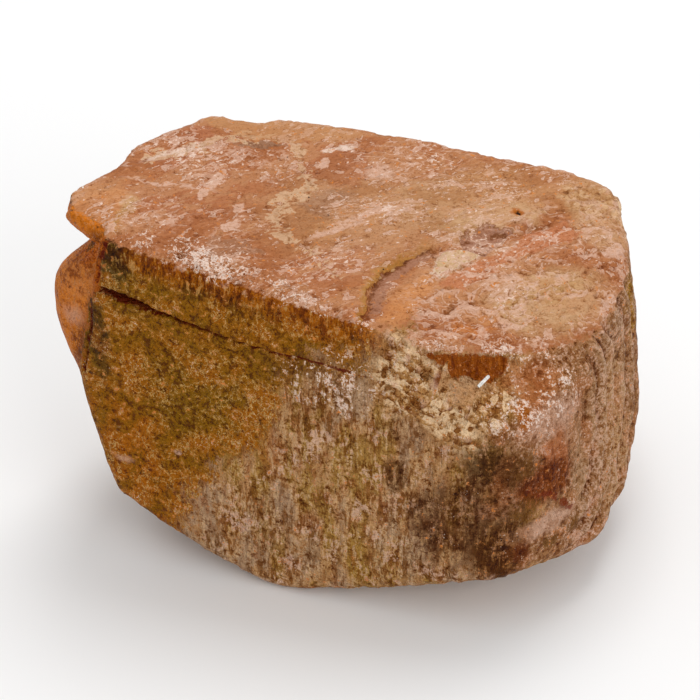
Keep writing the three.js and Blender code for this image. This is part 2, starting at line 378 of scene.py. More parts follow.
# How thick the white crust is along the rim above the crack.
RIM_FROST = [(-26, 0.1), (-19, 0.25), (-16, 0.45), (-14, 1), (-10, 1.15), (-8, 0.6), (-5, 0.7),
             (-2, 0.95), (2, 0.5), (5, 0.7), (9, 0.5), (14, 0)]
NECK_SEAM = [(-23.5, -5.7, 39.8), (-23.9, -5.6, 37.6), (-24.6, -5.6, 35.6), (-24.7, -5.6, 33.2)]
LOBE_GAP = [(-25.0, -5.6, 32.7), (-25.9, -5.4, 30.6), (-26.5, -5.3, 27.8), (-27.0, -5.3, 25.4),
            (-27.6, -5.3, 22.0)]
TROUGH = [(1.2, -13.5, 34.3), (1.9, -10.7, 34.2), (2.3, -8.4, 34.2), (3, -6.1, 34.2), (4.8, -4, 33.9),
          (6.4, -2.2, 33.7), (7.7, -0.6, 33.5), (9.5, 0.2, 33.2), (11.7, 2.8, 33), (13.8, 4.8, 32.7),
          (16.1, 4.9, 32.3), (18.9, 6.6, 31.9), (21.2, 7.8, 31.5), (23.1, 8.2, 31.2), (25.5, 10, 31)]
CREAM_VEIN = [(-20.1, 9.5, 38.6), (-15.5, 12.2, 37.6), (-13.1, 14.6, 37.2), (-9, 16.4, 36.4),
              (-5.8, 15.5, 35.8), (-5.1, 10.8, 35.8), (-4, 8, 35.7), (-6.6, 5.2, 36.2),
              (-7.5, 1.1, 36.5), (-6.6, -2, 36.5), (-3.5, -4, 36), (-1.5, -7.5, 35.8)]
SLAB_CREASE = [(7.2, -11.7, 33.0), (11.2, -8.1, 32.3), (17, -4.5, 31), (25.7, 4.8, 29.6)]
# The flat face under the slab's lip: its lower edge (x and height) and its two ends.
LEDGE_FOOT = [(7.1, 31.8), (7.6, 30.8), (9.5, 30.0), (9.8, 28.7), (13.7, 27.4), (15.2, 27.8), (15.6, 29.1)]
LEDGE_ENDS = (7.1, 15.5)
SMOOTH_MIDDLE = np.array([11.2, -16.0, 27.2])
SLIVER = [(12.6, -15.3, 27.5), (13.5, -14.2, 27.8)]
# Where the amber stain ends on the front: height, and how far along the front.
STAIN_EDGE = [(2, -10.8), (4.5, -13.2), (11.5, -12.8), (13, -9.8), (16, -6.9), (19.6, -5.1), (24.9, -3.1),
              (27, -0.5), (28.2, 3)]
# Sheets that have flaked off or still lie on the slab, seen from above.
SHEETS = {
    "recess": [(11.7, 2.8), (12.7, 3.7), (14, 4.8), (16.1, 4.9), (15.4, 3.7), (14.6, 2.1), (13.2, 0),
               (11.7, 0.2)],
    "flake": [(9.6, -0.3), (11.6, 0.2), (13.2, -0.1), (11.2, -2.4), (8.9, -5.2), (7.9, -4.6), (8.9, -1.9)],
    "wedge": [(1.9, -12.9), (2.9, -12.1), (3.4, -9.3), (5.2, -5.5), (7.2, -2.9), (8.8, -0.8), (7.7, -0.6),
              (6.4, -2.2), (4.8, -4), (3, -6.1), (2.3, -8.4), (1.9, -10.7)],
    "glow": [(3.1, -13), (4.1, -9.6), (5.2, -7.7), (7.6, -4.7), (8.6, -5.6), (7.4, -8.5), (6.4, -11.5),
             (4.4, -13.6)],
    "rosy": [(8.8, -6), (12.8, -1.5), (16.2, 1.3), (17.6, 4.6), (22.2, 7.4), (24, 6.5), (22.1, 5),
             (17.8, 1.1), (14.4, -2.5), (11.1, -6.3)],
}
PIT = (17.3, 8.2, 32.2)
PIT_RADIUS = 0.6
CLEAVAGE_AZIMUTH = 36.0
RIDGE_AZIMUTH = 27.0
RING_CENTRE = np.array([18.7, -17.4, 21.2])
RING_SPACING = 3.1
FAR_AWAY = 9.0
# Crumbled corners: middle, radius and the size of their grains.
CRUMBLED = [((6.0, -16.4, 28.8), 4.8, 1.4), ((9.5, -17.5, 25.2), 4.4, 1.1), ((13.5, -16.5, 25.5), 3.4, 0.9),
            ((26.5, 12.5, 31), 6.0, 1.9)]


def crack_gap(along, height):
    """Height above the crack, and the distance from its walls, negative between them."""
    places, middles, halves = zip(*CRACK)
    middle = np.interp(along, places, middles)
    half = np.interp(along, places, halves)
    return height - middle, np.abs(height - middle) - half


def hashed(cells, salt):
    """A fixed random number from 0 to 1 for each cell."""
    mixed = np.sin(cells @ np.array([12.9898, 78.233, 37.719]) + salt) * 43758.5453
    return mixed - np.floor(mixed)


def grains(points, size, shift=0.0):
    """Angular grains: each cell is a facet of its own height and tilt. About -1 to 1."""
    scaled = points / size + shift
    cells = np.array([tuple(noise.voronoi(each)[1][0]) for each in scaled.tolist()])
    tilt = np.stack([hashed(cells, salt) - 0.5 for salt in (1.0, 2.0, 3.0)], axis=1)
    return (hashed(cells, 4.0) - 0.5) + 2.2 * np.einsum("px,px->p", tilt, scaled - cells)


def where(mask, make):
    """The field that make gives for the points where the mask isn't nought, times the mask."""
    field = np.zeros(len(mask))
    inside = mask > 0.001
    field[inside] = mask[inside] * make(inside)
    return field


def regions(points, normals):
    """Which part of the stone each point lies on, and where on it."""
    r = types.SimpleNamespace()
    r.slab = on_face("slab_top", points, 0.1, 0.9, SLAB) * smoothstep(points[:, 0], 3, 8)
    r.top = np.maximum(on_face("top", points, 0.1, 0.9), r.slab)
    r.side = 1 - np.maximum(r.top, on_face("rest", points))
    r.front = r.side * smoothstep(normals @ towards(262, 0), 0.35, 0.6)
    r.back = r.side * smoothstep(normals @ towards(92, 0), 0.35, 0.6)
    r.streaks, r.fibres = turned(points, CLEAVAGE_AZIMUTH), turned(points, FRONT_TURN)
    r.along, r.height = r.fibres[:, 0], points[:, 2]
    r.low = 1 - smoothstep(r.height, 8, 26)
    wander = waves(points, 6.0, 4, shift=31.0)
    r.right_field = points[:, 0] - 0.35 * points[:, 1] + 0.12 * (r.height - 18) - 23.3 + 4.5 * wander
    r.right = smoothstep(r.right_field, -1.5, 1.5) * r.side
    return r


def carve_top(relief, points, r):
    """Cleavage steps along the streaks, a chipped rim, the trough, and the sheets and ridges."""
    top, slab, streaks = r.top, r.slab, r.streaks
    flight = 3.4 * waves(streaks, (18.0, 6.0, 9.0), 5, shift=3.1) + 0.08 * streaks[:, 1]
    relief += top * 0.24 * (steps(flight, 0.14) - flight)
    flakelet = 4.0 * waves(streaks, (6.0, 2.2, 3.0), 4, shift=11.7)
    relief += top * 0.075 * (steps(flakelet, 0.2) - 0.6 * flakelet)
    tiny = 4.4 * waves(streaks, (2.6, 1.1, 1.4), 3, shift=17.7)
    relief += top * 0.035 * (steps(tiny, 0.25) - tiny)

    # Small chips are gone from the rim.
    brink = 1 - smoothstep(behind("front", points) + behind("top", points), 0.6, 2.4)
    relief -= 0.45 * brink * smoothstep(waves(points, 2.4, 3, shift=45.0), 0.05, 0.4)

    # The upper cleavage ends along the trough; below it the slab has long ridges.
    gap, reach, hand = from_line(points, TROUGH)
    sheet = hand * gap + 0.7 * waves(points, 2.6, 4, shift=2.6)
    relief += top * 0.3 * (smoothstep(sheet, -0.15, 0.15) - 0.5) * np.exp(-np.maximum(gap - 1, 0) / 3)
    trough = 1 - smoothstep(reach, 0.3, 0.5)
    relief -= top * 0.25 * np.exp(-(gap / 0.5) ** 2) * trough
    ridges = turned(points, RIDGE_AZIMUTH)[:, 1]
    fold = (ridges + 2.2 * waves(points, 5.0, 4, shift=5.0)) / 2.6
    relief += slab * 0.26 * (fold - np.floor(fold) - 0.5)
    ridge = (ridges + 2.4 * waves(points, 2.6, 4, shift=1.0)) / 1.1
    relief += slab * 0.1 * (ridge - np.floor(ridge) - 0.5)
    gap, _, _ = from_line(points, SLAB_CREASE)
    relief -= slab * 0.2 * np.exp(-(gap / 0.5) ** 2)
    ragged = 0.3 * waves(points, 1.8, 2, shift=2.0) + FAR_AWAY * (1 - smoothstep(top, 0.2, 0.5))
    sheets = {name: within(points, corners) + ragged for name, corners in SHEETS.items()}
    sheets["recess"] -= 0.3
    relief -= 0.35 * (1 - smoothstep(sheets["recess"], -0.15, 0.15))
    relief += 0.3 * (1 - smoothstep(sheets["flake"], -0.15, 0.15))
    vein, _, hand = from_line(points, CREAM_VEIN)
    relief -= top * 0.12 * np.sign(hand) * np.exp(-((vein / 1.2) ** 2))
    return {
        "terrace": flight, "flakelet": flakelet, "sheet": sheet, "trough": trough * top, **sheets,
        "fold": fold, "ridge": ridge, "vein": vein,
    }


def carve_cracks(relief, points, r):
    """The crack, the slab that stands proud above it, and the gaps beside the knob and the lobe."""
    front, along, height = r.front, r.along, r.height
    seam_heights, seam_places = zip(*[(z, x) for x, _, z in reversed(NECK_SEAM + LOBE_GAP)])
    west = np.interp(height, seam_heights, seam_places) - points[:, 0] - 0.05 * (points[:, 1] + 5.4)
    above, crack = crack_gap(along + 0.2, height + 0.12 * waves(points, 1.3, 2))
    in_reach = front * (1 - smoothstep(west, -0.4, 0.2)) * (1 - smoothstep(along, 5, 8))
    proud = smoothstep(above, -0.1, 0.2) * (1 - smoothstep(along, -6, 6))
    relief += 0.45 * front * proud
    relief -= CRACK_DEPTH * (1 - smoothstep(crack, -0.22, 0.1)) * in_reach * smoothstep(-along, -6, 13)
    seams = np.full(len(points), FAR_AWAY)
    opened = smoothstep(height, 32, 26)
    lobe_width, lobe_depth = 0.1 + 0.4 * opened, 0.25 + 0.85 * opened
    for line, width, depth in ((NECK_SEAM, 0.08, 0.25), (LOBE_GAP, lobe_width, lobe_depth)):
        gap, _, _ = from_line(points, line)
        gap = gap + 0.3 * waves(points, 2.4, 3, shift=4.0)
        relief -= depth * (1 - smoothstep(gap, 0.4 * width, 1.4 * width + 0.15))
        seams = np.minimum(seams, gap - width)

    # West of those gaps the rock is clear. Its border is ragged below and round the back.
    ragged = 6 * waves(points, 3.4, 4, shift=46.0)
    clear = np.minimum.reduce([west, (height - 21.5 + ragged) / 8, (2.5 - points[:, 1] + ragged) / 8])
    return {
        "crack": np.where(in_reach > 0.5, crack, FAR_AWAY), "seams": seams,
        "lobe": smoothstep(clear, -0.4, 0.2) * (1 - r.top),
    }


def carve_sides(relief, points, r):
    """Fibres down the front, waves round the blunt end, a terrace across the back."""
    front, along, height = r.front, r.along, r.height
    fibrous = front * smoothstep(along - 0.3 * (height - 16), -12, 2)
    leaning = r.fibres.copy()
    leaning[:, 0] += 0.1 * height
    relief += fibrous * 0.2 * waves(leaning, (1.4, 1.4, 8.0), 3, shift=6.0)
    relief += front * 0.12 * waves(leaning, (0.8, 0.8, 1.6), 2, shift=8.0)
    ring = np.linalg.norm(points - RING_CENTRE, axis=1) + 1.4 * waves(points, 7.0, 3, shift=2.2)
    outer = smoothstep(points[:, 0], 21, 25) * (1 - smoothstep(points[:, 1], 2, 8)) * r.side
    flutes = outer * np.cos(2 * math.pi * ring / RING_SPACING)
    relief += 0.34 * flutes
    relief += r.right * 0.16 * waves(points, 2.4, 4, shift=21.0)
    edge = height - 19 - 0.32 * points[:, 0] + 0.8 * waves(points, 6.0, 3)
    relief += r.back * 0.7 * (1 - smoothstep(edge, -0.3, 0.3))
    shelf = 2.0 * waves(points, (9.0, 9.0, 5.0), 3, shift=13.0)
    relief += r.back * r.low * 0.5 * steps(1.4 * shelf, 0.2) / 1.4
    return {"flutes": flutes}


def carve_corners(relief, points, r):
    """Corners that have broken up into grains; the face under the slab's lip stays whole."""
    foot = np.interp(points[:, 0], *zip(*LEDGE_FOOT)) + 0.3 * waves(points, 1.6, 3, shift=14.0)
    ledge_field = np.minimum.reduce([
        r.height - foot, points[:, 0] - LEDGE_ENDS[0], LEDGE_ENDS[1] - points[:, 0],
        behind("slab_top", points, SLAB) - 0.6, 1.0 - behind("cliff", points, SLAB),
    ])
    ledge = smoothstep(ledge_field, -0.1, 0.2)
    chip = np.maximum(blob(points, CHIP_MIDDLE, np.array([1.5, 1.5, 1.2]), 22, 0.15),
                      blob(points, SMOOTH_MIDDLE, np.array([1.6, 2.0, 0.9]), FRONT_TURN, 0.5))
    crumbled = np.zeros(len(points))
    crumbs = np.zeros(len(points))
    for centre, radius, size in CRUMBLED:
        reach = np.linalg.norm(points - centre, axis=1) + 2.2 * waves(points, 4.0, 3, shift=1.5)
        mask = (1 - smoothstep(reach, 0.4 * radius, radius)) * (1 - 0.7 * r.slab)
        mask *= 1 - np.maximum(ledge, chip)
        crumbs += where(mask, lambda inside: 0.26 * size * grains(points[inside], size))
        crumbled = np.maximum(crumbled, mask)
    relief += crumbs

    # The sliver stands out, and the pit is sunk in.
    sliver, _, _ = from_line(points, SLIVER)
    relief += 0.2 * (1 - smoothstep(sliver, 0.2, 0.8))
    gap = np.linalg.norm(points - PIT, axis=1)
    relief -= 0.4 * (1 - smoothstep(gap, 0.15, PIT_RADIUS))
    return {"ledge": ledge_field, "chip": chip * (1 - ledge), "crumbled": crumbled, "crumbs": crumbs}


def stains(points, r, places):
    """How far each place is inside the stained side, whose edge runs down the front, and its frost."""
    along, height, ledge = r.along, r.height, smoothstep(places["ledge"], -0.1, 0.2)
    upper = np.minimum(height - 28.2, 6.5 - along)
    stained = np.maximum(np.interp(height, *zip(*STAIN_EDGE)) - along, upper)
    rim = behind("front", points) + 3.4 * behind("top", points) + 2.4 * waves(points, 2.4, 3, shift=41.0)
    rim = (1 - smoothstep(rim, 0.3, 3.2)) * np.interp(along, *zip(*RIM_FROST))
    lip = behind("cliff", points, SLAB) + behind("slab_top", points, SLAB)
    lip += 1.2 * waves(points, 2.4, 3, shift=42.0)
    lip = 0.6 * (1 - smoothstep(lip, 0.2, 2.4)) * smoothstep(points[:, 0], 4, 8) * (1 - ledge)
    middle = 0.25 * blob(points, np.array([-1.5, -14, 27.0]), np.array([6.0, 4, 4.0]), FRONT_TURN)
    frosted = np.maximum.reduce([rim, lip, middle, 0.2 * places["crumbled"]])
    return {"stained": stained, "frosted": frosted, "below": behind("top", points)}


def stone_relief(points, normals):
    """How far the finished surface stands out from the outline, and the places that it is made of."""
    r = regions(points, normals)
    relief = 0.28 * waves(points, 11.0, 2)
    relief += (0.09 + 0.11 * r.low) * waves(points, 3.4, 5, shift=7.3, fading=0.9)
    places = {"top": r.top, "slab": r.slab, "side": r.side, "right": r.right_field}
    for carve in (carve_top, carve_cracks, carve_sides, carve_corners):
        places.update(carve(relief, points, r))
    places.update(stains(points, r, places))
    return relief, places


# ------------------------------------------------------------------------------ colour of the rock

def linear(red, green, blue):
    """A display colour of 0 to 255 as linear light."""
    shown = np.array([red, green, blue]) / 255
    return np.where(shown <= 0.04045, shown / 12.92, ((shown + 0.055) / 1.055) ** 2.4)


SALMON = linear(172, 110, 70)
TAN = linear(186, 132, 88)
ROSE = linear(172, 108, 74)
PALE_TAN = linear(190, 138, 98)
CREAM = linear(206, 170, 130)
YELLOW_CREAM = linear(186, 140, 100)
GREY_PINK = linear(160, 122, 98)
LIGHT_AMBER = linear(212, 124, 40)
KNOB_PEACH = linear(206, 146, 98)
GLOW_PEACH = linear(204, 138, 84)
OCHRE = linear(160, 116, 12)
LAVENDER = linear(212, 172, 150)
# White frost, also used for painted highlights on flake rims and for painted glints.
WHITE_FROST_AND_HIGHLIGHT = linear(232, 208, 192)
WHITE = linear(240, 238, 232)

AMBER = linear(140, 86, 4)
OLIVE = linear(120, 84, 4)
GREEN_GREY = linear(88, 70, 22)
ORANGE = linear(160, 86, 2)
DEEP_AMBER = linear(130, 62, 4)
BEIGE = linear(184, 138, 92)
GREY_TAN = linear(172, 142, 116)
OLIVE_TAN = linear(156, 116, 36)
RUSSET = linear(156, 90, 42)
UMBER = linear(112, 72, 26)
MAUVE = linear(140, 104, 78)
ROSY = linear(190, 120, 82)
GREY_ROSE = linear(160, 112, 88)
FLAKE_CREAM = linear(204, 172, 130)
VEIN_CREAM = linear(214, 180, 146)
SPARK = linear(182, 134, 60)
GREY_CREAM = linear(168, 132, 96)
LOBE_AMBER = linear(196, 108, 22)
LOBE_PINK = linear(200, 126, 70)
LOBE_BROWN = linear(104, 48, 6)
LOBE_ORANGE = linear(200, 104, 22)
SALMON_STREAK = linear(168, 96, 54)
THREAD = linear(206, 168, 124)
CURL = linear(196, 158, 98)
VEIN_RED = linear(112, 40, 3)

BLOOM = linear(152, 106, 66)
PEACH = linear(180, 108, 60)
RUST = linear(118, 56, 5)
CHIP_TAN = linear(184, 136, 92)
CRUMB = linear(186, 136, 80)
PALE_CRUMB = linear(230, 196, 156)
CRACK_RED = linear(92, 18, 2)
RING_ORANGE = linear(168, 90, 14)
BLACK = linear(14, 6, 3)
# What dirt leaves of the rock's red, green and blue, also used as painted shade in hollows, creases and
# gaps; SHADE is a darker tone of the rock, also used as painted shade.
DIRT_AND_SHADE = (0.46, 0.28, 0.08)
SHADE = (0.76, 0.62, 0.46)

# Stains and minerals: colour, middle, radii (the first one along an azimuth), azimuth, strength, blur.
TOP_PATCHES = [
    (YELLOW_CREAM, (0, 4, 35), (10, 8, 4), 36, 0.65, 0.5),
    (YELLOW_CREAM, (12, 9, 33.3), (10, 5.5, 4), 36, 0.9, 0.3),
    (TAN, (20, 14, 32), (10, 5, 4), 0, 0.6, 0.4),
    (CREAM, (26.5, 11, 31), (3.5, 7, 4), 0, 0.5, 0.4),
    (TAN, (-8, 19, 37), (9.5, 3.4, 4), 0, 0.9, 0.12),
    (ROSE, (-15.6, 16, 37.6), (2.8, 1.7, 3), 72, 0.85, 0.15),
    (ROSE, (-18, 9, 38), (3.4, 1.2, 4), 0, 0.6, 0.15),
    (ROSE, (-16, 3, 38), (8, 4.5, 4), 36, 0.35, 0.5),
    (ROSE, (-2, -6, 35), (5, 2.6, 4), 36, 0.45, 0.3),
    (GREY_PINK, (-9.5, 14.6, 36.8), (3.2, 0.9, 3), 0, 0.9, 0.1),
    (GREY_PINK, (-2.2, 5.5, 35.8), (3.2, 1.8, 4), 36, 0.5, 0.3),
    (GREY_PINK, (-12, -5.5, 38), (3, 1.6, 4), 36, 0.5, 0.15),
    (ROSE, (-1, 12, 35), (4, 3.2, 4), 36, 0.5, 0.2),
    (TAN, (-1.5, 1, 35.5), (4.5, 1.4, 4), 36, 0.7, 0.2),
    (ORANGE, (9, 16, 34), (0.9, 0.6, 2), 0, 0.5, 0.5),
    (LIGHT_AMBER, (12.5, -11.6, 31.4), (4.5, 1, 3), 36, 0.3, 0.4),
    (KNOB_PEACH, (-25.8, -1, 38.6), (4.5, 4, 3), 36, 0.7, 0.3),
    (PALE_TAN, (13, -4, 32), (9, 5, 4), 36, 0.6, 0.3),
    (CREAM, (20, -5, 30.5), (7.5, 4, 4), 36, 0.65, 0.4),
    (CREAM, (14, 6, 32.8), (6, 2.4, 3), 36, 0.5, 0.4),
    (OCHRE, (19, -5, 30.5), (6, 0.7, 3), 36, 0.3, 0.6),
    (OCHRE, (-22.5, -1, 38.5), (2.4, 0.8, 3), 72, 0.5, 0.6),
    (CREAM, (-22.3, 0.5, 38.5), (1.6, 0.9, 3), 72, 0.5, 0.3),
]
FRONT_PATCHES = [
    (OLIVE, (-19, -7, 33), (6, 3, 3), 341, 0.4, 0.5),
    (GREEN_GREY, (-23.3, -6, 36.6), (2, 2, 3), 341, 0.9, 0.4),
    (GREEN_GREY, (-25.4, -5.6, 27), (1.2, 2, 6), 341, 0.8, 0.5),
    (ORANGE, (-12.5, -10, 36.6), (9, 3, 1.6), 341, 0.6, 0.4),
    (ORANGE, (-2, -13.5, 33.6), (7, 3, 1.7), 341, 0.6, 0.4),
    (ORANGE, (-20, -7, 11), (5, 4, 7), 341, 0.5, 0.5),
    (ORANGE, (-22.5, -7.5, 13), (2.2, 4, 6), 341, 0.5, 0.5),
    (OLIVE, (-15, -9, 22), (4, 4, 5), 341, 0.5, 0.5),
    (UMBER, (-5, -12, 28), (4, 3, 1.2), 341, 0.5, 0.4),
    (UMBER, (4.5, -16.5, 17.5), (1.5, 2.5, 2), 341, 0.7, 0.3),
    (UMBER, (9.5, -18.5, 13), (3.4, 3, 4.5), 341, 0.6, 0.4),
    (UMBER, (14, -20, 19), (3.6, 3, 5.5), 341, 0.8, 0.4),
    (UMBER, (15.5, -20, 10), (3.6, 3, 5), 341, 0.9, 0.4),
    (GREEN_GREY, (13, -19, 21), (2.4, 3, 2.5), 341, 0.4, 0.4),
    (MAUVE, (7.4, -18.4, 10.5), (2, 3, 4), 341, 0.6, 0.3),
    (MAUVE, (5.5, -17, 23), (2, 3, 2), 341, 0.5, 0.3),
    (MAUVE, (-8, -12, 9), (2.5, 3, 4), 341, 0.4, 0.3),
    (ORANGE, (-7.5, -12, 17.5), (1.2, 2, 2.4), 341, 0.45, 0.4),
    (OCHRE, (2, -16, 6), (5, 3, 3), 341, 0.25, 0.5),
]
RIGHT_PATCHES = [
    (ROSE, (19.5, -17, 25), (3.6, 3, 3.4), 40, 0.4, 0.4),
    (ROSE, (23, -14, 20), (3.4, 3, 3), 40, 0.3, 0.4),
    (BEIGE, (27, -5, 14), (3, 5, 10), 40, 0.5, 0.5),
    (CREAM, (28, -6, 18), (7, 3.5, 12), 72, 0.25, 0.4),
    (OCHRE, (30.4, 4, 26), (3.2, 2.4, 6), 72, 0.9, 0.4),
    (GREEN_GREY, (31, 8, 12), (2, 3, 8), 72, 0.6, 0.5),
]
# Landmarks that keep their place, with the same values as the patches.
RIGHT_MARKS = [
    (PEACH, (17.5, -14, 26.8), (3.6, 3, 2.2), 40, 0.6, 0.4),
    (LAVENDER, (20.6, -15.3, 23.4), (3.6, 3, 1.8), 40, 0.5, 0.5),
    (GREY_CREAM, (23.3, -13.1, 15.6), (1.2, 3, 5.5), 40, 0.6, 0.5),
    (SALMON_STREAK, (20.6, -15.4, 19.4), (1.7, 3, 2.6), 40, 0.7, 0.4),
    (UMBER, (17.2, -18.4, 19.2), (2.4, 3, 1.8), 40, 0.8, 0.4),
    (RUST, (19.8, -16.6, 16.4), (3.8, 3, 2.3), 40, 0.95, 0.3),
    (UMBER, (17.6, -18.4, 14.4), (1.8, 3, 1.3), 40, 0.8, 0.35),
    (ORANGE, (17.3, -17.2, 24.6), (0.8, 2, 1.1), 40, 0.85, 0.3),
    (LAVENDER, (19.9, -17.2, 11.4), (4.2, 3, 1.2), 40, 0.6, 0.4),
    (UMBER, (20.6, -16.7, 8.9), (1.2, 3, 0.6), 40, 0.8, 0.3),
    (UMBER, (23.1, -14.1, 9.2), (1, 3, 0.9), 40, 0.8, 0.4),
    (RUST, (17.4, -18.9, 9.4), (0.9, 3, 1.3), 40, 0.7, 0.3),
]
# Single patches: the same values without a colour.
RUSTY = ((19.8, -16.6, 17), (4.2, 3, 3.4), 40, 0.75, 0.5)
RED_VEIN = [(17.7, -18.1, 16.8), (19.9, -16.7, 14.8), (22.5, -14.4, 11.6)]
TOP_MARKS = [
    (LAVENDER, (-13.9, 6.3, 37.3), (1.5, 0.6, 2), 72, 0.8, 0.12),
    (LAVENDER, (-14.9, 4, 37.4), (1.2, 0.5, 2), 72, 0.8, 0.12),
    (LAVENDER, (-11.1, 1.9, 36.7), (1, 0.5, 2), 72, 0.7, 0.12),
    (LAVENDER, (-11.9, -1.3, 36.8), (1.2, 0.5, 2), 36, 0.8, 0.12),
    (LAVENDER, (-18, -1.8, 37.7), (1.2, 0.6, 2), 36, 0.7, 0.2),
    (LAVENDER, (-18.5, 4.9, 38), (4.5, 0.22, 2), 0, 0.8, 0.4),
    (WHITE_FROST_AND_HIGHLIGHT, (-18.4, 10.6, 38.1), (3.2, 0.6, 2), 36, 0.7, 0.5),
    (WHITE_FROST_AND_HIGHLIGHT, (-0.7, 16, 35.4), (1.5, 0.45, 2), 36, 0.85, 0.4),
    (WHITE_FROST_AND_HIGHLIGHT, (-2.3, 14.9, 35.6), (0.9, 0.4, 2), 36, 0.8, 0.3),
    (LAVENDER, (-2.8, 12.6, 35.6), (1.1, 0.5, 2), 72, 0.8, 0.12),
    (LAVENDER, (3.2, 12.2, 34.9), (1.8, 1.2, 2), 36, 0.7, 0.4),
    (LAVENDER, (1.8, 4, 34.9), (4.5, 0.4, 2), 36, 0.7, 0.3),
    (LAVENDER, (-1.5, 0.6, 35.3), (3.5, 0.5, 2), 36, 0.7, 0.3),
]
PLAIN_SHEET = ((-8, 19, 37), (9.5, 3.4, 4), 0, 0.55, 0.12)
LOBE_MARKS = [
    (LOBE_PINK, (-27.5, -3, 31.5), (3.2, 4, 2.4), 341, 0.6, 0.5),
    (LOBE_ORANGE, (-26.4, -2, 34.6), (2, 3, 1.1), 341, 0.8, 0.4),
    (LOBE_BROWN, (-25.2, -4, 36.6), (1.1, 3, 1.3), 341, 0.6, 0.5),
    (LAVENDER, (-28, -3, 27.3), (1.3, 3, 1.1), 341, 0.45, 0.7),
    (LOBE_BROWN, (-27.2, -4.5, 23.4), (1.4, 3, 3.4), 341, 0.8, 0.5),
]
LAST_MARKS = [
    (LAVENDER, (-23.3, -7.4, 12.6), (0.8, 2, 0.35), 341, 0.4, 0.8),
    (LAVENDER, (-17.3, -8.6, 14.8), (0.35, 2, 0.2), 341, 0.6, 0.6),
]
CHIP_HOLE = ((8.7, -15.9, 29), (0.35, 2, 0.8), 341, 0.9, 0.4)

# Where dirt and brown stain have sunk in over everything else.
DEEP_STAINS = [
    ((14, -20, 19), (3, 3, 5.4), 341, 0.85, 0.5),
    ((11.5, -19, 15), (6, 4, 9), 341, 0.25, 0.6),
    ((15.5, -20, 9.5), (3.6, 3, 4.8), 341, 0.85, 0.5),
    ((9.5, -18.5, 13), (3.2, 3, 4.4), 341, 0.6, 0.5),
    ((18.6, -17.4, 18.2), (3, 3, 1.9), 40, 0.5, 0.5),
    ((4.5, -16.5, 17.5), (1.2, 2.5, 1.8), 341, 0.5, 0.5),
    ((-25.2, -5.6, 27), (0.9, 2, 6), 341, 0.6, 0.5),
    ((-22.8, -6, 37), (1.6, 2, 2.6), 341, 0.6, 0.4),
    ((-3, -12.4, 24), (3.4, 3, 3), 341, 0.3, 0.5),
]


# ------------------------------------------------------------------------------ the mesh

LAYERS = ("top", "slab", "side", "right", "stained", "frosted", "ledge", "lobe", "crumbled", "crumbs",
          "chip", *SHEETS, "vein", "sheet", "trough", "crack", "seams", "terrace", "flakelet", "flutes",
          "fold", "ridge", "below", "bulge", "clots", "blots", "bands", "blush", "haze")
# Below REST_BAND the stone is flat on the ground; over GROUND_BAND the relief grows to its full height.
REST_BAND = 0.08
GROUND_BAND = (0.2, 1.6)
# What brings the spread of waves() to about 1.
TO_SPREAD = 3.5


def bulge(points, triangles, passes=2):
    """How far each point stands out past the middle of its neighbours, along its normal."""
    edges, _ = edges_of(triangles)
    first, second = edges.T
    count = len(points)
    valence = np.bincount(first, minlength=count) + np.bincount(second, minlength=count)

    def gathered(values):
        return np.bincount(first, values[second], count) + np.bincount(second, values[first], count)

    corners = points[triangles]
    facets = np.cross(corners[:, 1] - corners[:, 0], corners[:, 2] - corners[:, 0])
    normals = np.stack([
        sum(np.bincount(triangles[:, corner], facets[:, axis], count) for corner in range(3))
        for axis in range(3)
    ], axis=1)
    normals /= np.linalg.norm(normals, axis=1, keepdims=True)
    middle = np.stack([gathered(points[:, axis]) / valence for axis in range(3)], axis=1)
    proud = np.einsum("px,px->p", points - middle, normals)
    for _ in range(passes):
        proud = (proud + gathered(proud)) / (1 + valence)
    return proud


def make_stone():
    points, triangles = outline_mesh()
    _, normals = outline(points)
    relief, places = stone_relief(points, normals)
    relief *= smoothstep(points[:, 2], *GROUND_BAND)
    finished = points + normals * relief[:, None]
    finished[finished[:, 2] < REST_BAND, 2] = 0
    return points, finished, triangles, places


def placed_in_frame(points):
    """What to add to the stone so that it stands where the CAD solid stands."""
    low, high = (np.array(corner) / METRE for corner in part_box(NODE))
    offset = (low + high) / 2 - (points.min(axis=0) + points.max(axis=0)) / 2
    offset[2] = 0
    return offset


def add_object(name, points, faces):
    mesh = bpy.data.meshes.new(name)
    mesh.from_pydata((np.asarray(points, float) * METRE).tolist(), [], np.asarray(faces).tolist())
    mesh.update()
    made = bpy.data.objects.new(name, mesh)
    bpy.context.scene.collection.objects.link(made)
    return made


def make_layers(mesh, points, finished, triangles, places):
    streaks, fibres = turned(points, CLEAVAGE_AZIMUTH), turned(points, FRONT_TURN)
    places["clots"] = TO_SPREAD * waves(points, 2.6, 3, shift=51.0)
    places["blots"] = TO_SPREAD * waves(fibres, (1.0, 1.0, 2.8), 3, shift=81.0)
    places["bands"] = TO_SPREAD * waves(fibres, (2.2, 2.2, 8.0), 4, shift=91.0)
    places["blush"] = TO_SPREAD * waves(streaks, (9.0, 3.4, 5.0), 4, shift=61.0)
    places["haze"] = TO_SPREAD * waves(points, 7.0, 3, shift=71.0)
    places["bulge"] = bulge(finished, triangles)
    for name in LAYERS:
        layer = mesh.attributes.new(name, "FLOAT", "POINT")
        layer.data.foreach_set("value", places[name].astype(np.float32))


# ------------------------------------------------------------------------------ the material

# The spread of one octave of Blender's noise, and which sockets of the Mix node carry colours.
OCTAVE_SPREAD = 0.13
MIX_COLOUR_INPUTS = (0, 6, 7)
MIX_COLOUR_OUTPUT = 2


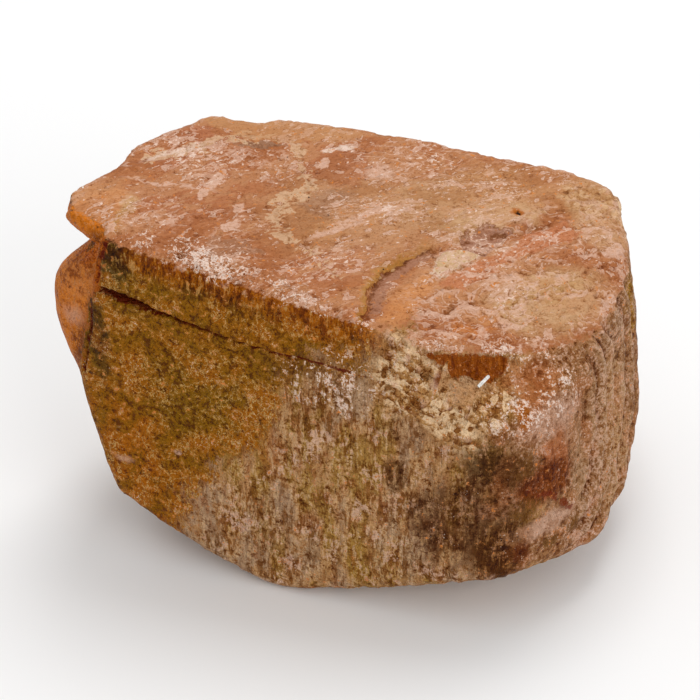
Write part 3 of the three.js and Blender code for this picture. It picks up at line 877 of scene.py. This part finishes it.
class Value:
    """What a node gives out. The signs of arithmetic add the node that works them out."""

    def __init__(self, nodes, socket):
        self.nodes = nodes
        self.socket = socket

    def __add__(self, other):
        return self.nodes.math("ADD", self, other)

    def __mul__(self, other):
        return self.nodes.math("MULTIPLY", self, other)

    def __sub__(self, other):
        return self.nodes.math("SUBTRACT", self, other)

    def __rsub__(self, other):
        return self.nodes.math("SUBTRACT", other, self)

    def __abs__(self):
        return self.nodes.math("ABSOLUTE", self)


class Nodes:
    """Builds a material's node tree: each call adds a node and gives back its output."""

    def __init__(self, name):
        self.material = bpy.data.materials.new(name)
        self.material.use_nodes = True
        self.tree = self.material.node_tree
        self.shader = self.tree.nodes["Principled BSDF"]

    def feed(self, socket, value):
        if isinstance(value, Value):
            self.tree.links.new(value.socket, socket)
        elif hasattr(socket.default_value, "__len__") and not hasattr(value, "__len__"):
            socket.default_value = [value] * len(socket.default_value)
        elif hasattr(value, "__len__") and len(socket.default_value) == 4 and len(value) == 3:
            socket.default_value = (*value, 1)
        else:
            socket.default_value = value

    def node(self, kind, inputs, **settings):
        node = self.tree.nodes.new("ShaderNode" + kind)
        for name, value in settings.items():
            setattr(node, name, value)
        for name, value in inputs.items():
            self.feed(node.inputs[name], value)
        return node

    def add(self, kind, output, inputs, **settings):
        return Value(self, self.node(kind, inputs, **settings).outputs[output])

    def layer(self, name):
        return self.add("Attribute", "Fac", {}, attribute_name=name)

    def math(self, operation, *values):
        return self.add("Math", 0, dict(enumerate(values)), operation=operation)

    def vector(self, operation, *values, output=0):
        return self.add("VectorMath", output, dict(enumerate(values)), operation=operation)

    def noise(self, place, scale, detail, roughness, distortion=0.0):
        """Fractal noise, stretched so that its spread is about 1 to each side of nought."""
        inputs = {"Vector": self.vector("MULTIPLY", place, scale), "Scale": 1.0, "Detail": detail}
        raw = self.add("TexNoise", 0, {**inputs, "Roughness": roughness, "Distortion": distortion})
        octaves = roughness ** np.arange(detail + 1)
        spread = OCTAVE_SPREAD * math.sqrt((octaves**2).sum()) / octaves.sum()
        return (raw - 0.5) * (1 / spread)

    def turned(self, place, azimuth):
        """The place turned so that its first axis runs along an azimuth."""
        inputs = {"Vector": place, "Angle": -math.radians(azimuth)}
        return self.add("VectorRotate", 0, inputs, rotation_type="Z_AXIS")

    def from_segment(self, place, start, end):
        """Distance to a straight line between two places."""
        stretch = np.subtract(end, start)
        local = self.vector("SUBTRACT", place, start)
        share = self.vector("DOT_PRODUCT", local, stretch / (stretch @ stretch), output=1)
        share = self.math("MINIMUM", self.math("MAXIMUM", share, 0.0), 1.0)
        spread = self.add("CombineXYZ", 0, {"X": share, "Y": share, "Z": share})
        nearest = self.vector("MULTIPLY_ADD", spread, stretch, start)
        return self.vector("DISTANCE", place, nearest, output=1)

    def step(self, value, low, high, most=1.0):
        """0 below low, most above high, smooth between; turned round where low is above high."""
        inputs = {"Value": value, "From Min": low, "From Max": high, "To Max": most}
        return self.add("MapRange", 0, inputs, interpolation_type="SMOOTHSTEP")

    def blend(self, share, first, second, mode="MIX"):
        inputs = dict(zip(MIX_COLOUR_INPUTS, (share, first, second)))
        return self.add("Mix", MIX_COLOUR_OUTPUT, inputs, data_type="RGBA", blend_type=mode)


class Coat:
    """A colour that is built up in layers."""

    def __init__(self, nodes, colour):
        self.nodes = nodes
        self.colour = colour

    def over(self, share, new):
        self.colour = self.nodes.blend(share, self.colour, new)

    def deepen(self, share, factor):
        self.colour = self.nodes.blend(share, self.colour, factor, "MULTIPLY")

    def paint(self, patches, frames):
        for new, *patch in patches:
            self.over(self.share(*patch, frames), new)

    def share(self, middle, radii, azimuth, strength, blur, frames):
        """How much of a patch covers each place."""
        scale = 1 / np.array(radii)
        start = -turned(np.array([middle]), azimuth)[0] * scale
        local = self.nodes.vector("MULTIPLY_ADD", frames[azimuth], scale, start)
        away = self.nodes.vector("LENGTH", local, output=1)
        return self.nodes.step(away, 1 + blur, 1 - blur, strength)


# Specks of dirt, and bright painted glints.
SPECKS = [(0.2, -0.5, 34.8), (-6.5, 13.2, 36.2), (1.6, 11.0, 34.8), (-4.2, 6.2, 35.7), (-2.2, 3.4, 35.3),
          (3.3, -5.0, 34.3), (-9.4, 4.1, 36.4), (21.5, -2.4, 30.0), (24.2, 0.4, 29.8), (28.5, 13.6, 30.4)]
GLINTS = [(15.5, -16.2, 25.9), (-14.6, 2.0, 37.0), (-26.8, 2.4, 39.3)]
SPECK_RADIUS = 0.07
CRUMBS_PER_MM = 1.05
# The way in which the crumbs' facets get painted light; their other side gets painted shade.
CRUMB_TILT = (0.35, -0.2, 0.55)
# So that small marks reach the surface, heights are shortened for the pit and depths for the specks.
FLATTENED = (1, 1, 0.2)
SHORTENED = (1, 0.15, 1)
# How far noise shifts the patches, the small marks and the crumbs.
WARP = 7.0
MARK_WARP = 1.5
CRUMB_WARP = 0.4
PATCH_AZIMUTHS = (0, 36, 40, 72, 341)


def as_seen(points):
    """Places in the picture's plane, with their depth shortened, so that marks reach the surface."""
    rise = math.radians(SEEN_RISE)
    x, y, z = np.transpose(points)
    depth = y * math.cos(rise) - z * math.sin(rise)
    return np.stack([x, SHORTENED[1] * depth, y * math.sin(rise) + z * math.cos(rise)], axis=-1)


def stone_fields(n, offset):
    """The places, noises and layers that the stone's coats are made of."""
    f = types.SimpleNamespace(**{name: n.layer(name) for name in LAYERS})
    metres = n.add("TexCoord", "Object", {})
    f.place = n.vector("SUBTRACT", n.vector("MULTIPLY", metres, 1 / METRE), offset)
    streaks, f.fibres = n.turned(f.place, CLEAVAGE_AZIMUTH), n.turned(f.place, FRONT_TURN)
    f.grain = n.noise(f.place, 1.5, 4, 0.74)
    f.dust = n.noise(f.place, 4.4, 1, 0.6)
    f.scales = n.noise(streaks, (0.6, 1.1, 0.9), 4, 0.56, 0.6)
    f.splinters = n.noise(streaks, (1.5, 2.8, 2.4), 2, 0.55)
    f.ledge = n.step(f.ledge + f.grain * 0.1, -0.06, 0.08)
    f.lobe = n.step(f.lobe + f.grain * 0.2, 0.35, 0.6)
    f.thread = n.noise(f.fibres, (2.0, 2.0, 0.45), 3, 0.72, 0.3)
    f.hair = abs(n.noise(f.place, (1.2, 1.2, 0.9), 3, 0.66))

    inputs = {"Vector": f.place, "Scale": 0.28, "Detail": 3, "Roughness": 0.66}
    swirl = n.vector("SUBTRACT", n.add("TexNoise", "Color", inputs), 0.5)
    warped = n.vector("MULTIPLY_ADD", swirl, WARP, f.place)
    f.frames = {azimuth: n.turned(warped, azimuth) for azimuth in PATCH_AZIMUTHS}
    inputs = {"X": f.grain * 0.05, "Y": f.scales * 0.18, "Z": f.splinters * 0.05}
    f.frayed = n.vector("MULTIPLY_ADD", swirl, MARK_WARP, f.place)
    f.frayed = n.vector("ADD", f.frayed, n.add("CombineXYZ", 0, inputs))
    f.marks = {azimuth: n.turned(f.frayed, azimuth) for azimuth in PATCH_AZIMUTHS}
    inputs = {"Vector": f.place, "Angle": math.radians(SEEN_RISE)}
    f.seen = n.add("VectorRotate", 0, inputs, rotation_type="X_AXIS")
    f.seen = n.vector("MULTIPLY", f.seen, SHORTENED)

    # What kind of rock shows: the flaky top, the clear ledge and lobe, and the three kinds of side.
    fray = f.clots * 0.3 + f.grain * 0.35
    f.flaky = n.step(f.top + f.grain * 0.12, 0.3, 0.7)
    f.plain = 1.0 - n.math("MAXIMUM", f.ledge, f.lobe)
    sided = (1.0 - f.flaky) * f.plain
    f.behind = n.step(n.add("SeparateXYZ", "Y", {"Vector": warped}), 4, 10)
    mottled = n.step(f.right + fray, -1.6, 1.6)
    tongues = fray * 2.4 + f.thread * 0.8 + f.haze * 0.5
    stained = n.step(f.stained + tongues + f.behind * -3, -1.3, 1.3) * (1.0 - mottled)
    f.mottled, f.grainy = mottled * sided, stained * sided
    f.fibrous = sided - n.math("MAXIMUM", f.mottled, f.grainy)
    return f


def top_coat(n, f):
    """The flat top: smooth peach sheets with ragged borders, pale flakes with painted shadows and
    highlights at their rims, and a cream vein.
    """
    coat = Coat(n, SALMON)
    over, deepen, step = coat.over, coat.deepen, n.step
    coat.paint(TOP_PATCHES, f.frames)
    sheets = f.blush + f.scales * 0.4
    deepen(step(sheets, 0.55, 0.68, 0.5), SHADE)
    over(step(sheets, -0.7, -0.85, 0.45), PALE_TAN)
    over(step(f.vein + f.scales * 0.4, 0.8, 0.6, 0.6), VEIN_CREAM)

    # Sheets on the slab, each with its own ragged outline.
    ragged = f.scales * 0.12 + f.grain * 0.08
    slabs = {name: getattr(f, name) + ragged for name in SHEETS}
    over(step(slabs["rosy"], 0.3, -0.2, 0.8), ROSY)
    # A painted glow: lighter peach where light seems to shine through the slab.
    over(step(slabs["glow"], 0.6, -0.5, 0.65), GLOW_PEACH)
    over(step(slabs["wedge"], 0.1, -0.1, 0.8), GREY_ROSE)
    over(step(slabs["flake"], 0.05, -0.05, 0.9), FLAKE_CREAM)
    # A painted highlight along the rim of the cream flake.
    over(step(abs(slabs["flake"]), 0.18, 0.06, 0.5), WHITE_FROST_AND_HIGHLIGHT)
    over(step(slabs["recess"], 0.05, -0.05, 0.95), GREY_ROSE)

    # Pale lips of the cleavage steps with painted shade on their risers, flakes with a painted shadow round
    # them and a painted highlight along their rim, splinters.
    veiled = step(f.haze, -0.8, 0.8)
    for steps_layer, wear, strength in ((f.terrace, 0.1, 0.65), (f.flakelet, 0.16, 0.3)):
        fall = n.math("FRACT", steps_layer + f.scales * wear)
        lip = step(fall, 0.08, 0.11) * step(fall, 0.35, 0.13)
        over(lip * veiled * strength, LAVENDER)
        # Painted shade on the riser of each step.
        deepen(step(fall, 0.09, 0, 0.55), SHADE)
    coat.paint(TOP_MARKS, f.marks)
    flakes = f.scales + f.haze * 0.35 + f.frosted * 0.5
    # Painted shadow round each flake and a painted highlight along its rim.
    deepen(step(flakes, 1.2, 1.42) * step(flakes, 1.52, 1.46) * 0.6, SHADE)
    over(step(flakes, 1.46, 1.52, 0.6), LAVENDER)
    over(step(flakes, 1.48, 1.54) * step(flakes, 1.75, 1.6) * 0.55, WHITE_FROST_AND_HIGHLIGHT)
    small = f.splinters + f.haze * 0.5 + f.slab * 0.2
    over(step(small, 2.1, 2.25, 0.75), LAVENDER)
    over(step(small, 2.5, 2.7, 0.6), WHITE_FROST_AND_HIGHLIGHT)
    deepen(step(f.grain, -0.6, -1.9, 0.3), SHADE)
    deepen(step(f.splinters + f.dust * 0.5, 0.2, -2, 0.45), SHADE)
    broken = step(f.clots + f.grain * 0.4, -0.9, 0.6)
    ridged = step(f.rosy, 0, 0.9) * step(f.wedge, 0, 0.5) * f.slab
    # Frost on the crests of the slab's ridges, painted shade at the foot of each.
    for wave, wear in ((f.fold, 0.04), (f.ridge, 0.09)):
        fall = n.math("FRACT", wave + f.scales * wear)
        over(step(fall, 0.66, 0.82, 0.6) * broken * ridged, LAVENDER)
        deepen(step(fall, 0.14, 0.02, 0.7) * ridged, SHADE)

    # The sheet at the far left is plain.
    over(coat.share(*PLAIN_SHEET, f.frames), TAN)

    # Painted shade: a dark line in the trough and along the upper edge of the recess. Green rock beside the
    # trough.
    border = f.sheet + f.scales * 0.1 + f.grain * 0.06
    beside = step(border, -0.1, 0.2) * step(border, 1.4, 0.3) * f.trough * f.top
    over(beside * 0.45, OCHRE)
    line = step(abs(border), 0.2, 0.05)
    deepen(line * f.trough * 0.85, DIRT_AND_SHADE)
    edge = step(abs(slabs["recess"]), 0.16, 0.04) * step(f.sheet, -0.7, -0.2)
    # Painted shade under the upper edge of the recess.
    deepen(edge * 0.7, DIRT_AND_SHADE)
    return coat.colour


def side_coat(n, f):
    """The broken sides: brown fibres down the front, amber grains on the left, pink bloom on the right."""
    coat = Coat(n, BEIGE)
    over, deepen, step = coat.over, coat.deepen, n.step
    columns = f.bands + f.grain * 0.3
    over(step(columns, 0.2, 1.2, 0.65), GREY_TAN)
    over(step(columns, -0.3, -1.3, 0.65), OLIVE_TAN)
    over(step(f.blots + f.thread * 0.6, 0.8, 2, 0.45), RUSSET)
    over(f.behind * 0.6, BLOOM)
    over(f.grainy, AMBER)
    coat.paint(FRONT_PATCHES, f.frames)
    over(f.mottled, BLOOM)
    # Cream on the flutes' crests, painted shade in their grooves.
    over(step(f.flutes, 0.3, 0.9, 0.5), GREY_CREAM)
    deepen(step(f.flutes, -0.2, -0.9, 0.85), SHADE)
    coat.paint(RIGHT_PATCHES, f.frames)

    # Amber grains: warmer and duller clots, gold edges, brown hollows.
    clump = f.clots + f.grain * 0.5
    over(step(clump, 0.2, 1.4, 0.55) * f.grainy, ORANGE)
    over(step(clump, -0.2, -1.4, 0.55) * f.grainy, OLIVE)
    deepen(step(f.blots + f.thread * 0.6, 0.9, 2.2, 0.4) * f.fibrous, DIRT_AND_SHADE)
    sparks = f.dust * 0.3 + f.grain * 0.85 + f.clots * 0.25
    over(step(sparks, 0.5, 1.9, 0.45) * f.grainy, SPARK)
    curls = f.clots * 0.7 + f.haze * 0.4 + f.grain * 0.5
    curls = step(f.hair, 0.34, 0.08) * step(curls, -0.4, 0.9)
    over(curls * (f.grainy * 0.85 + f.fibrous * 0.5), CURL)
    deepen(step(sparks, -0.3, -1.6, 0.9) * f.grainy, DIRT_AND_SHADE)
    over(step(sparks, 1.8, 2.4, 0.75) * f.grainy, LAVENDER)

    # Fibres: brown lines in groups, pale threads and clots of frost.
    groups = step(f.blush + f.clots, -2, 1)
    deepen(step(f.thread, 0.1, -1.2) * f.fibrous * (groups * 0.6 + 0.3), DIRT_AND_SHADE)
    over(step(f.thread + f.grain * 0.4, 0.6, 1.7, 0.6) * f.fibrous, THREAD)
    deepen(step(f.grain, -0.3, -1.8, 0.75) * f.fibrous, DIRT_AND_SHADE)
    frost = f.grain + f.clots * 0.8 + f.thread * 0.5
    over(step(frost, 1.3, 2.6, 0.6) * f.fibrous, LAVENDER)

    # Bloom: orange and pink rock under fine white frost.
    over(step(clump, 0, 1.2, 0.35) * f.mottled, PEACH)
    deepen(step(f.grain + f.clots * 0.4, 0, -1.5, 0.8) * f.mottled, SHADE)
    fine = f.grain + f.dust * 0.5 + f.haze * 0.4
    over(step(fine, 0.3, 1.7, 0.5) * f.mottled, LAVENDER)
    deepen(step(fine, -1, -2.4, 0.6) * f.mottled, DIRT_AND_SHADE)
    coat.paint(RIGHT_MARKS, f.marks)
    over(step(f.grain + f.dust + f.clots * 0.5, 1.8, 2.8, 0.5) * f.mottled, LAVENDER)
    deepen(step(f.thread, 0, -1.5, 0.3) * f.mottled, SHADE)
    rusty = coat.share(*RUSTY, f.marks)
    over(step(f.grain + f.thread, 0.6, 2.4) * rusty, SALMON_STREAK)
    deepen(step(f.grain + f.thread, 0, -2.2) * rusty, DIRT_AND_SHADE)
    deepen(step(f.grain + f.clots * 0.6, -0.3, -2, 0.75) * f.mottled, SHADE)
    for start, end in zip(RED_VEIN, RED_VEIN[1:]):
        over(step(n.from_segment(f.frayed, start, end), 0.45, 0.2, 0.85), VEIN_RED)

    # Orange streaks run down from the rim, and dirt has sunk in.
    drops = step(f.below + f.thread * -0.5, 2.4, 1, 0.75)
    inward = step(n.add("SeparateXYZ", "X", {"Vector": f.fibres}), -20, -17)
    over(drops * f.grainy * inward, ORANGE)
    strip = step(f.below, 3.8, 2.2) * f.grainy
    deepen(step(f.thread + f.clots * 0.5, 0.6, -1.3, 0.9) * strip, DIRT_AND_SHADE)
    over(step(f.thread + f.grain * 0.6, 1.1, 2.2, 0.45) * strip, CURL)
    coat.paint(LAST_MARKS, f.marks)
    for stain in DEEP_STAINS:
        deepen(coat.share(*stain, f.frames), DIRT_AND_SHADE)
    return coat.colour


def stone_coat(n, f):
    """Top and sides, then crystals and crumbs, painted glints, specks of dirt, painted highlights on edges
    and painted shade in hollows, the clear rock, the cracks, small marks.
    """
    coat = Coat(n, n.blend(f.flaky, side_coat(n, f), top_coat(n, f)))
    over, deepen, step = coat.over, coat.deepen, n.step
    over(f.crumbled * 0.85, CRUMB)

    # White crystals along the broken rim and over the crumbled corners.
    drip = f.grain * 0.8 + f.dust * 0.5 + f.clots * 0.4 + f.thread * f.side * 0.6
    f.crust = step(drip + f.frosted * 1.7, 1.3, 2.6) * f.plain
    f.crust = f.crust * step(f.frosted, 0.03, 0.25) * (1.0 - f.chip)
    over(f.frosted * f.plain * step(drip + f.frosted, 0.5, 2) * 0.5, LAVENDER)
    over(f.crust * 0.85, WHITE_FROST_AND_HIGHLIGHT)
    # Crumbs: each grain has a tone of its own, with painted light on the side towards CRUMB_TILT and
    # painted shade on the other; painted shade in the gaps between grains and where they sink in; whole
    # grains darker here and there.
    scaled = n.vector("MULTIPLY_ADD", n.vector("SUBTRACT", f.frayed, f.place), CRUMB_WARP, f.place)
    cells = n.node("TexVoronoi", {"Vector": scaled, "Scale": CRUMBS_PER_MM}, distance="MANHATTAN")
    distance, colour, middle = (Value(n, cells.outputs[name]) for name in ("Distance", "Color", "Position"))
    crumb = n.add("SeparateColor", 0, {"Color": colour})
    tilt = n.vector("DOT_PRODUCT", n.vector("SUBTRACT", scaled, middle), CRUMB_TILT, output=1)
    facet = tilt + crumb * 0.9 + f.dust * 0.04
    over(step(facet, 0.42, 0.75, 0.9) * f.crumbled, PALE_CRUMB)
    deepen(step(facet, 0.4, 0, 0.9) * f.crumbled, DIRT_AND_SHADE)
    deepen(step(distance, 0.8, 1.2, 0.6) * f.crumbled, DIRT_AND_SHADE)
    deepen(step(f.grain + crumb * 1.2, -0.2, -1.3, 0.85) * f.crumbled, DIRT_AND_SHADE)
    deepen(step(f.crumbs, -0.14, -0.42, 0.65), DIRT_AND_SHADE)
    over(f.chip * step(f.grain, -2, 0.6, 0.9), CHIP_TAN)
    over(coat.share(*CHIP_HOLE, f.marks), RUST)

    # Painted glints and specks of dirt everywhere; bulging edges get a painted highlight and hollows
    # painted shade.
    over(step(f.dust + f.clots * 0.4, 2.9, 3.4, 0.6) * f.plain, WHITE_FROST_AND_HIGHLIGHT)
    deepen(step(f.dust, -1.8, -2.5, 0.8), DIRT_AND_SHADE)
    jutting = f.bulge + f.grain * 0.008
    apart = step(f.crack, 0.3, 1.2) * step(f.seams, 0.6, 1.8)
    over(step(jutting, 0.018, 0.045, 0.4) * f.plain * apart, LAVENDER)
    deepen(step(jutting, -0.012, -0.035, 0.8), DIRT_AND_SHADE)

    # The clear amber ledge and lobe.
    over(f.ledge, DEEP_AMBER)
    over(f.lobe, LOBE_AMBER)
    for new, *patch in LOBE_MARKS:
        over(coat.share(*patch, f.marks) * f.lobe, new)
    lines = n.noise(f.fibres, (2.6, 2.6, 0.3), 2, 0.7)
    deepen(step(lines, 0.3, 1.8, 0.7) * f.ledge, DIRT_AND_SHADE)
    over(step(lines + f.grain * 0.5, -0.8, -2.2, 0.3) * f.ledge, LIGHT_AMBER)
    over(step(f.grain + f.dust * 0.6, 1.4, 2.4, 0.25) * f.ledge, PALE_TAN)
    mixed = f.grain * 0.5 + f.clots
    over(step(f.grain + f.dust * 0.5, 0.8, 1.8, 0.45) * f.lobe, PALE_TAN)
    over(step(mixed, 0.3, -1.4, 0.3) * f.lobe, RUSSET)
    deepen(step(mixed, -1.4, -2.6, 0.5) * f.lobe, DIRT_AND_SHADE)
    over(step(f.thread + f.grain * 0.6, 0.6, 1.9, 0.55) * f.lobe, LIGHT_AMBER)
    deepen(step(f.grain + f.clots * 0.3, -0.3, -1.7, 0.55) * f.lobe, DIRT_AND_SHADE)
    # The lobe grows darker towards the seams.
    deepen(step(f.seams, 1.6, 0.2, 0.6) * f.lobe, DIRT_AND_SHADE)

    # The cracks: dark red along their walls, and black, painted shade, deep inside.
    ragged = f.grain * 0.05
    for opening in (f.crack + ragged, f.seams + ragged):
        over(step(opening, 0.16, 0, 0.9), CRACK_RED)
        over(step(opening, -0.1, -0.35, 0.85), BLACK)

    # The rust pit, black in its middle as painted shade, the black specks of dirt, the white painted glints
    # and the bright sliver.
    flat = n.vector("MULTIPLY", f.place, FLATTENED)
    gap = n.vector("DISTANCE", flat, np.multiply(PIT, FLATTENED), output=1) + f.grain * 0.08
    over(step(gap, 0.9, 0.55, 0.9), RING_ORANGE)
    over(step(gap, 0.48, 0.28, 0.95), BLACK)
    for speck in SPECKS + GLINTS:
        gap = n.vector("DISTANCE", f.seen, as_seen(speck), output=1)
        new = WHITE if speck in GLINTS else BLACK
        over(step(gap, SPECK_RADIUS * 1.8, SPECK_RADIUS, 0.9), new)
    over(step(n.from_segment(f.seen, *as_seen(SLIVER)), 0.2, 0.13), WHITE)
    return coat.colour


def stone_bump(n, f):
    """Relief finer than the mesh, in millimetres."""
    uneven = n.math("MAXIMUM", f.side, f.frosted) * 0.04 + 0.008
    flat = n.noise(n.turned(f.place, CLEAVAGE_AZIMUTH), (1.0, 2.2, 1.8), 1, 0.6)
    rough = n.noise(f.place, 2.6, 1, 0.7)
    strands = n.noise(f.fibres, (2.6, 2.6, 0.4), 1, 0.7)
    height = flat * f.top * 0.03 + rough * uneven + strands * f.fibrous * 0.03
    return n.add("Bump", 0, {"Height": height, "Distance": METRE, "Strength": 1.0})


ROUGHNESS = 0.55
FELDSPAR_IOR = 1.52
SPECULAR_LEVEL = 0.06


def stone_material(offset):
    """Rock that is dull to silky, duller where it is crusted and smoother on the ledge."""
    n = Nodes("peach_feldspar")
    f = stone_fields(n, offset)
    n.feed(n.shader.inputs["Base Color"], stone_coat(n, f))
    rough = f.grain * 0.05 + f.crust * 0.15 + f.ledge * -0.15 + ROUGHNESS
    n.feed(n.shader.inputs["Roughness"], rough)
    n.feed(n.shader.inputs["Normal"], stone_bump(n, f))
    n.shader.inputs["IOR"].default_value = FELDSPAR_IOR
    n.shader.inputs["Specular IOR Level"].default_value = SPECULAR_LEVEL
    return n.material


points, finished, triangles, places = make_stone()
shift = placed_in_frame(finished)
stone = add_object("stone", finished + shift, triangles)
stone.data.shade_smooth()
make_layers(stone.data, points, finished, triangles, places)
stone.data.materials.append(stone_material(shift))
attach(stone, "root")
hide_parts(NODE)

# ------------------------------------------------------------------------------ studio

FLOOR_HALF = 1.5
PAPER = 0.9
WORLD_STRENGTH = 0.72


def plain_material(name, colour, roughness):
    made = bpy.data.materials.new(name)
    made.use_nodes = True
    shader = made.node_tree.nodes["Principled BSDF"]
    shader.inputs["Base Color"].default_value = (*colour, 1)
    shader.inputs["Roughness"].default_value = roughness
    return made


floor_mesh = bpy.data.meshes.new("floor")
corners = [(FLOOR_HALF * x, FLOOR_HALF * y, 0) for x, y in ((-1, -1), (1, -1), (1, 1), (-1, 1))]
floor_mesh.from_pydata(corners, [], [(0, 1, 2, 3)])
floor = bpy.data.objects.new("floor", floor_mesh)
bpy.context.scene.collection.objects.link(floor)
floor_mesh.materials.append(plain_material("floor_paper", (PAPER,) * 3, 0.9))

CAMERA_LENS = 150.0
SENSOR = 36.0
CLIP_START = 0.01
VIEW_WIDTH = 70.0
CAMERA_TARGET = np.array([0.0, -7.5, 26.3])

world = bpy.data.worlds.new("studio")
bpy.context.scene.world = world
world.use_nodes = True
world.node_tree.nodes["Background"].inputs["Color"].default_value = (1, 1, 1, 1)
world.node_tree.nodes["Background"].inputs["Strength"].default_value = WORLD_STRENGTH


def aimed(thing, place, target):
    thing.location = place
    thing.rotation_euler = Vector(target - place).to_track_quat("-Z", "Y").to_euler()


def softbox(name, azimuth, elevation, distance, size, power, target):
    light = bpy.data.lights.new(name, "AREA")
    light.size = size
    light.energy = power
    thing = bpy.data.objects.new(name, light)
    bpy.context.scene.collection.objects.link(thing)
    aimed(thing, target + distance * towards(azimuth, elevation), target)


MIDDLE = np.array([0, 0, 0.02])
# Name, azimuth, elevation, distance, size, power, target; lengths in metres.
softbox("overhead", 75, 68, 0.45, 0.22, 0.8, MIDDLE)
softbox("fill", 300, 30, 0.6, 0.30, 0.8, MIDDLE)

camera_data = bpy.data.cameras.new("camera")
camera_data.lens = CAMERA_LENS
camera_data.sensor_width = SENSOR
camera_data.clip_start = CLIP_START
camera = bpy.data.objects.new("camera", camera_data)
bpy.context.scene.collection.objects.link(camera)
target = (CAMERA_TARGET + shift) * METRE
distance = VIEW_WIDTH * METRE * CAMERA_LENS / SENSOR
aimed(camera, target + distance * SEEN_FROM, target)
bpy.context.scene.camera = camera
bpy.context.scene.view_settings.view_transform = "Standard"
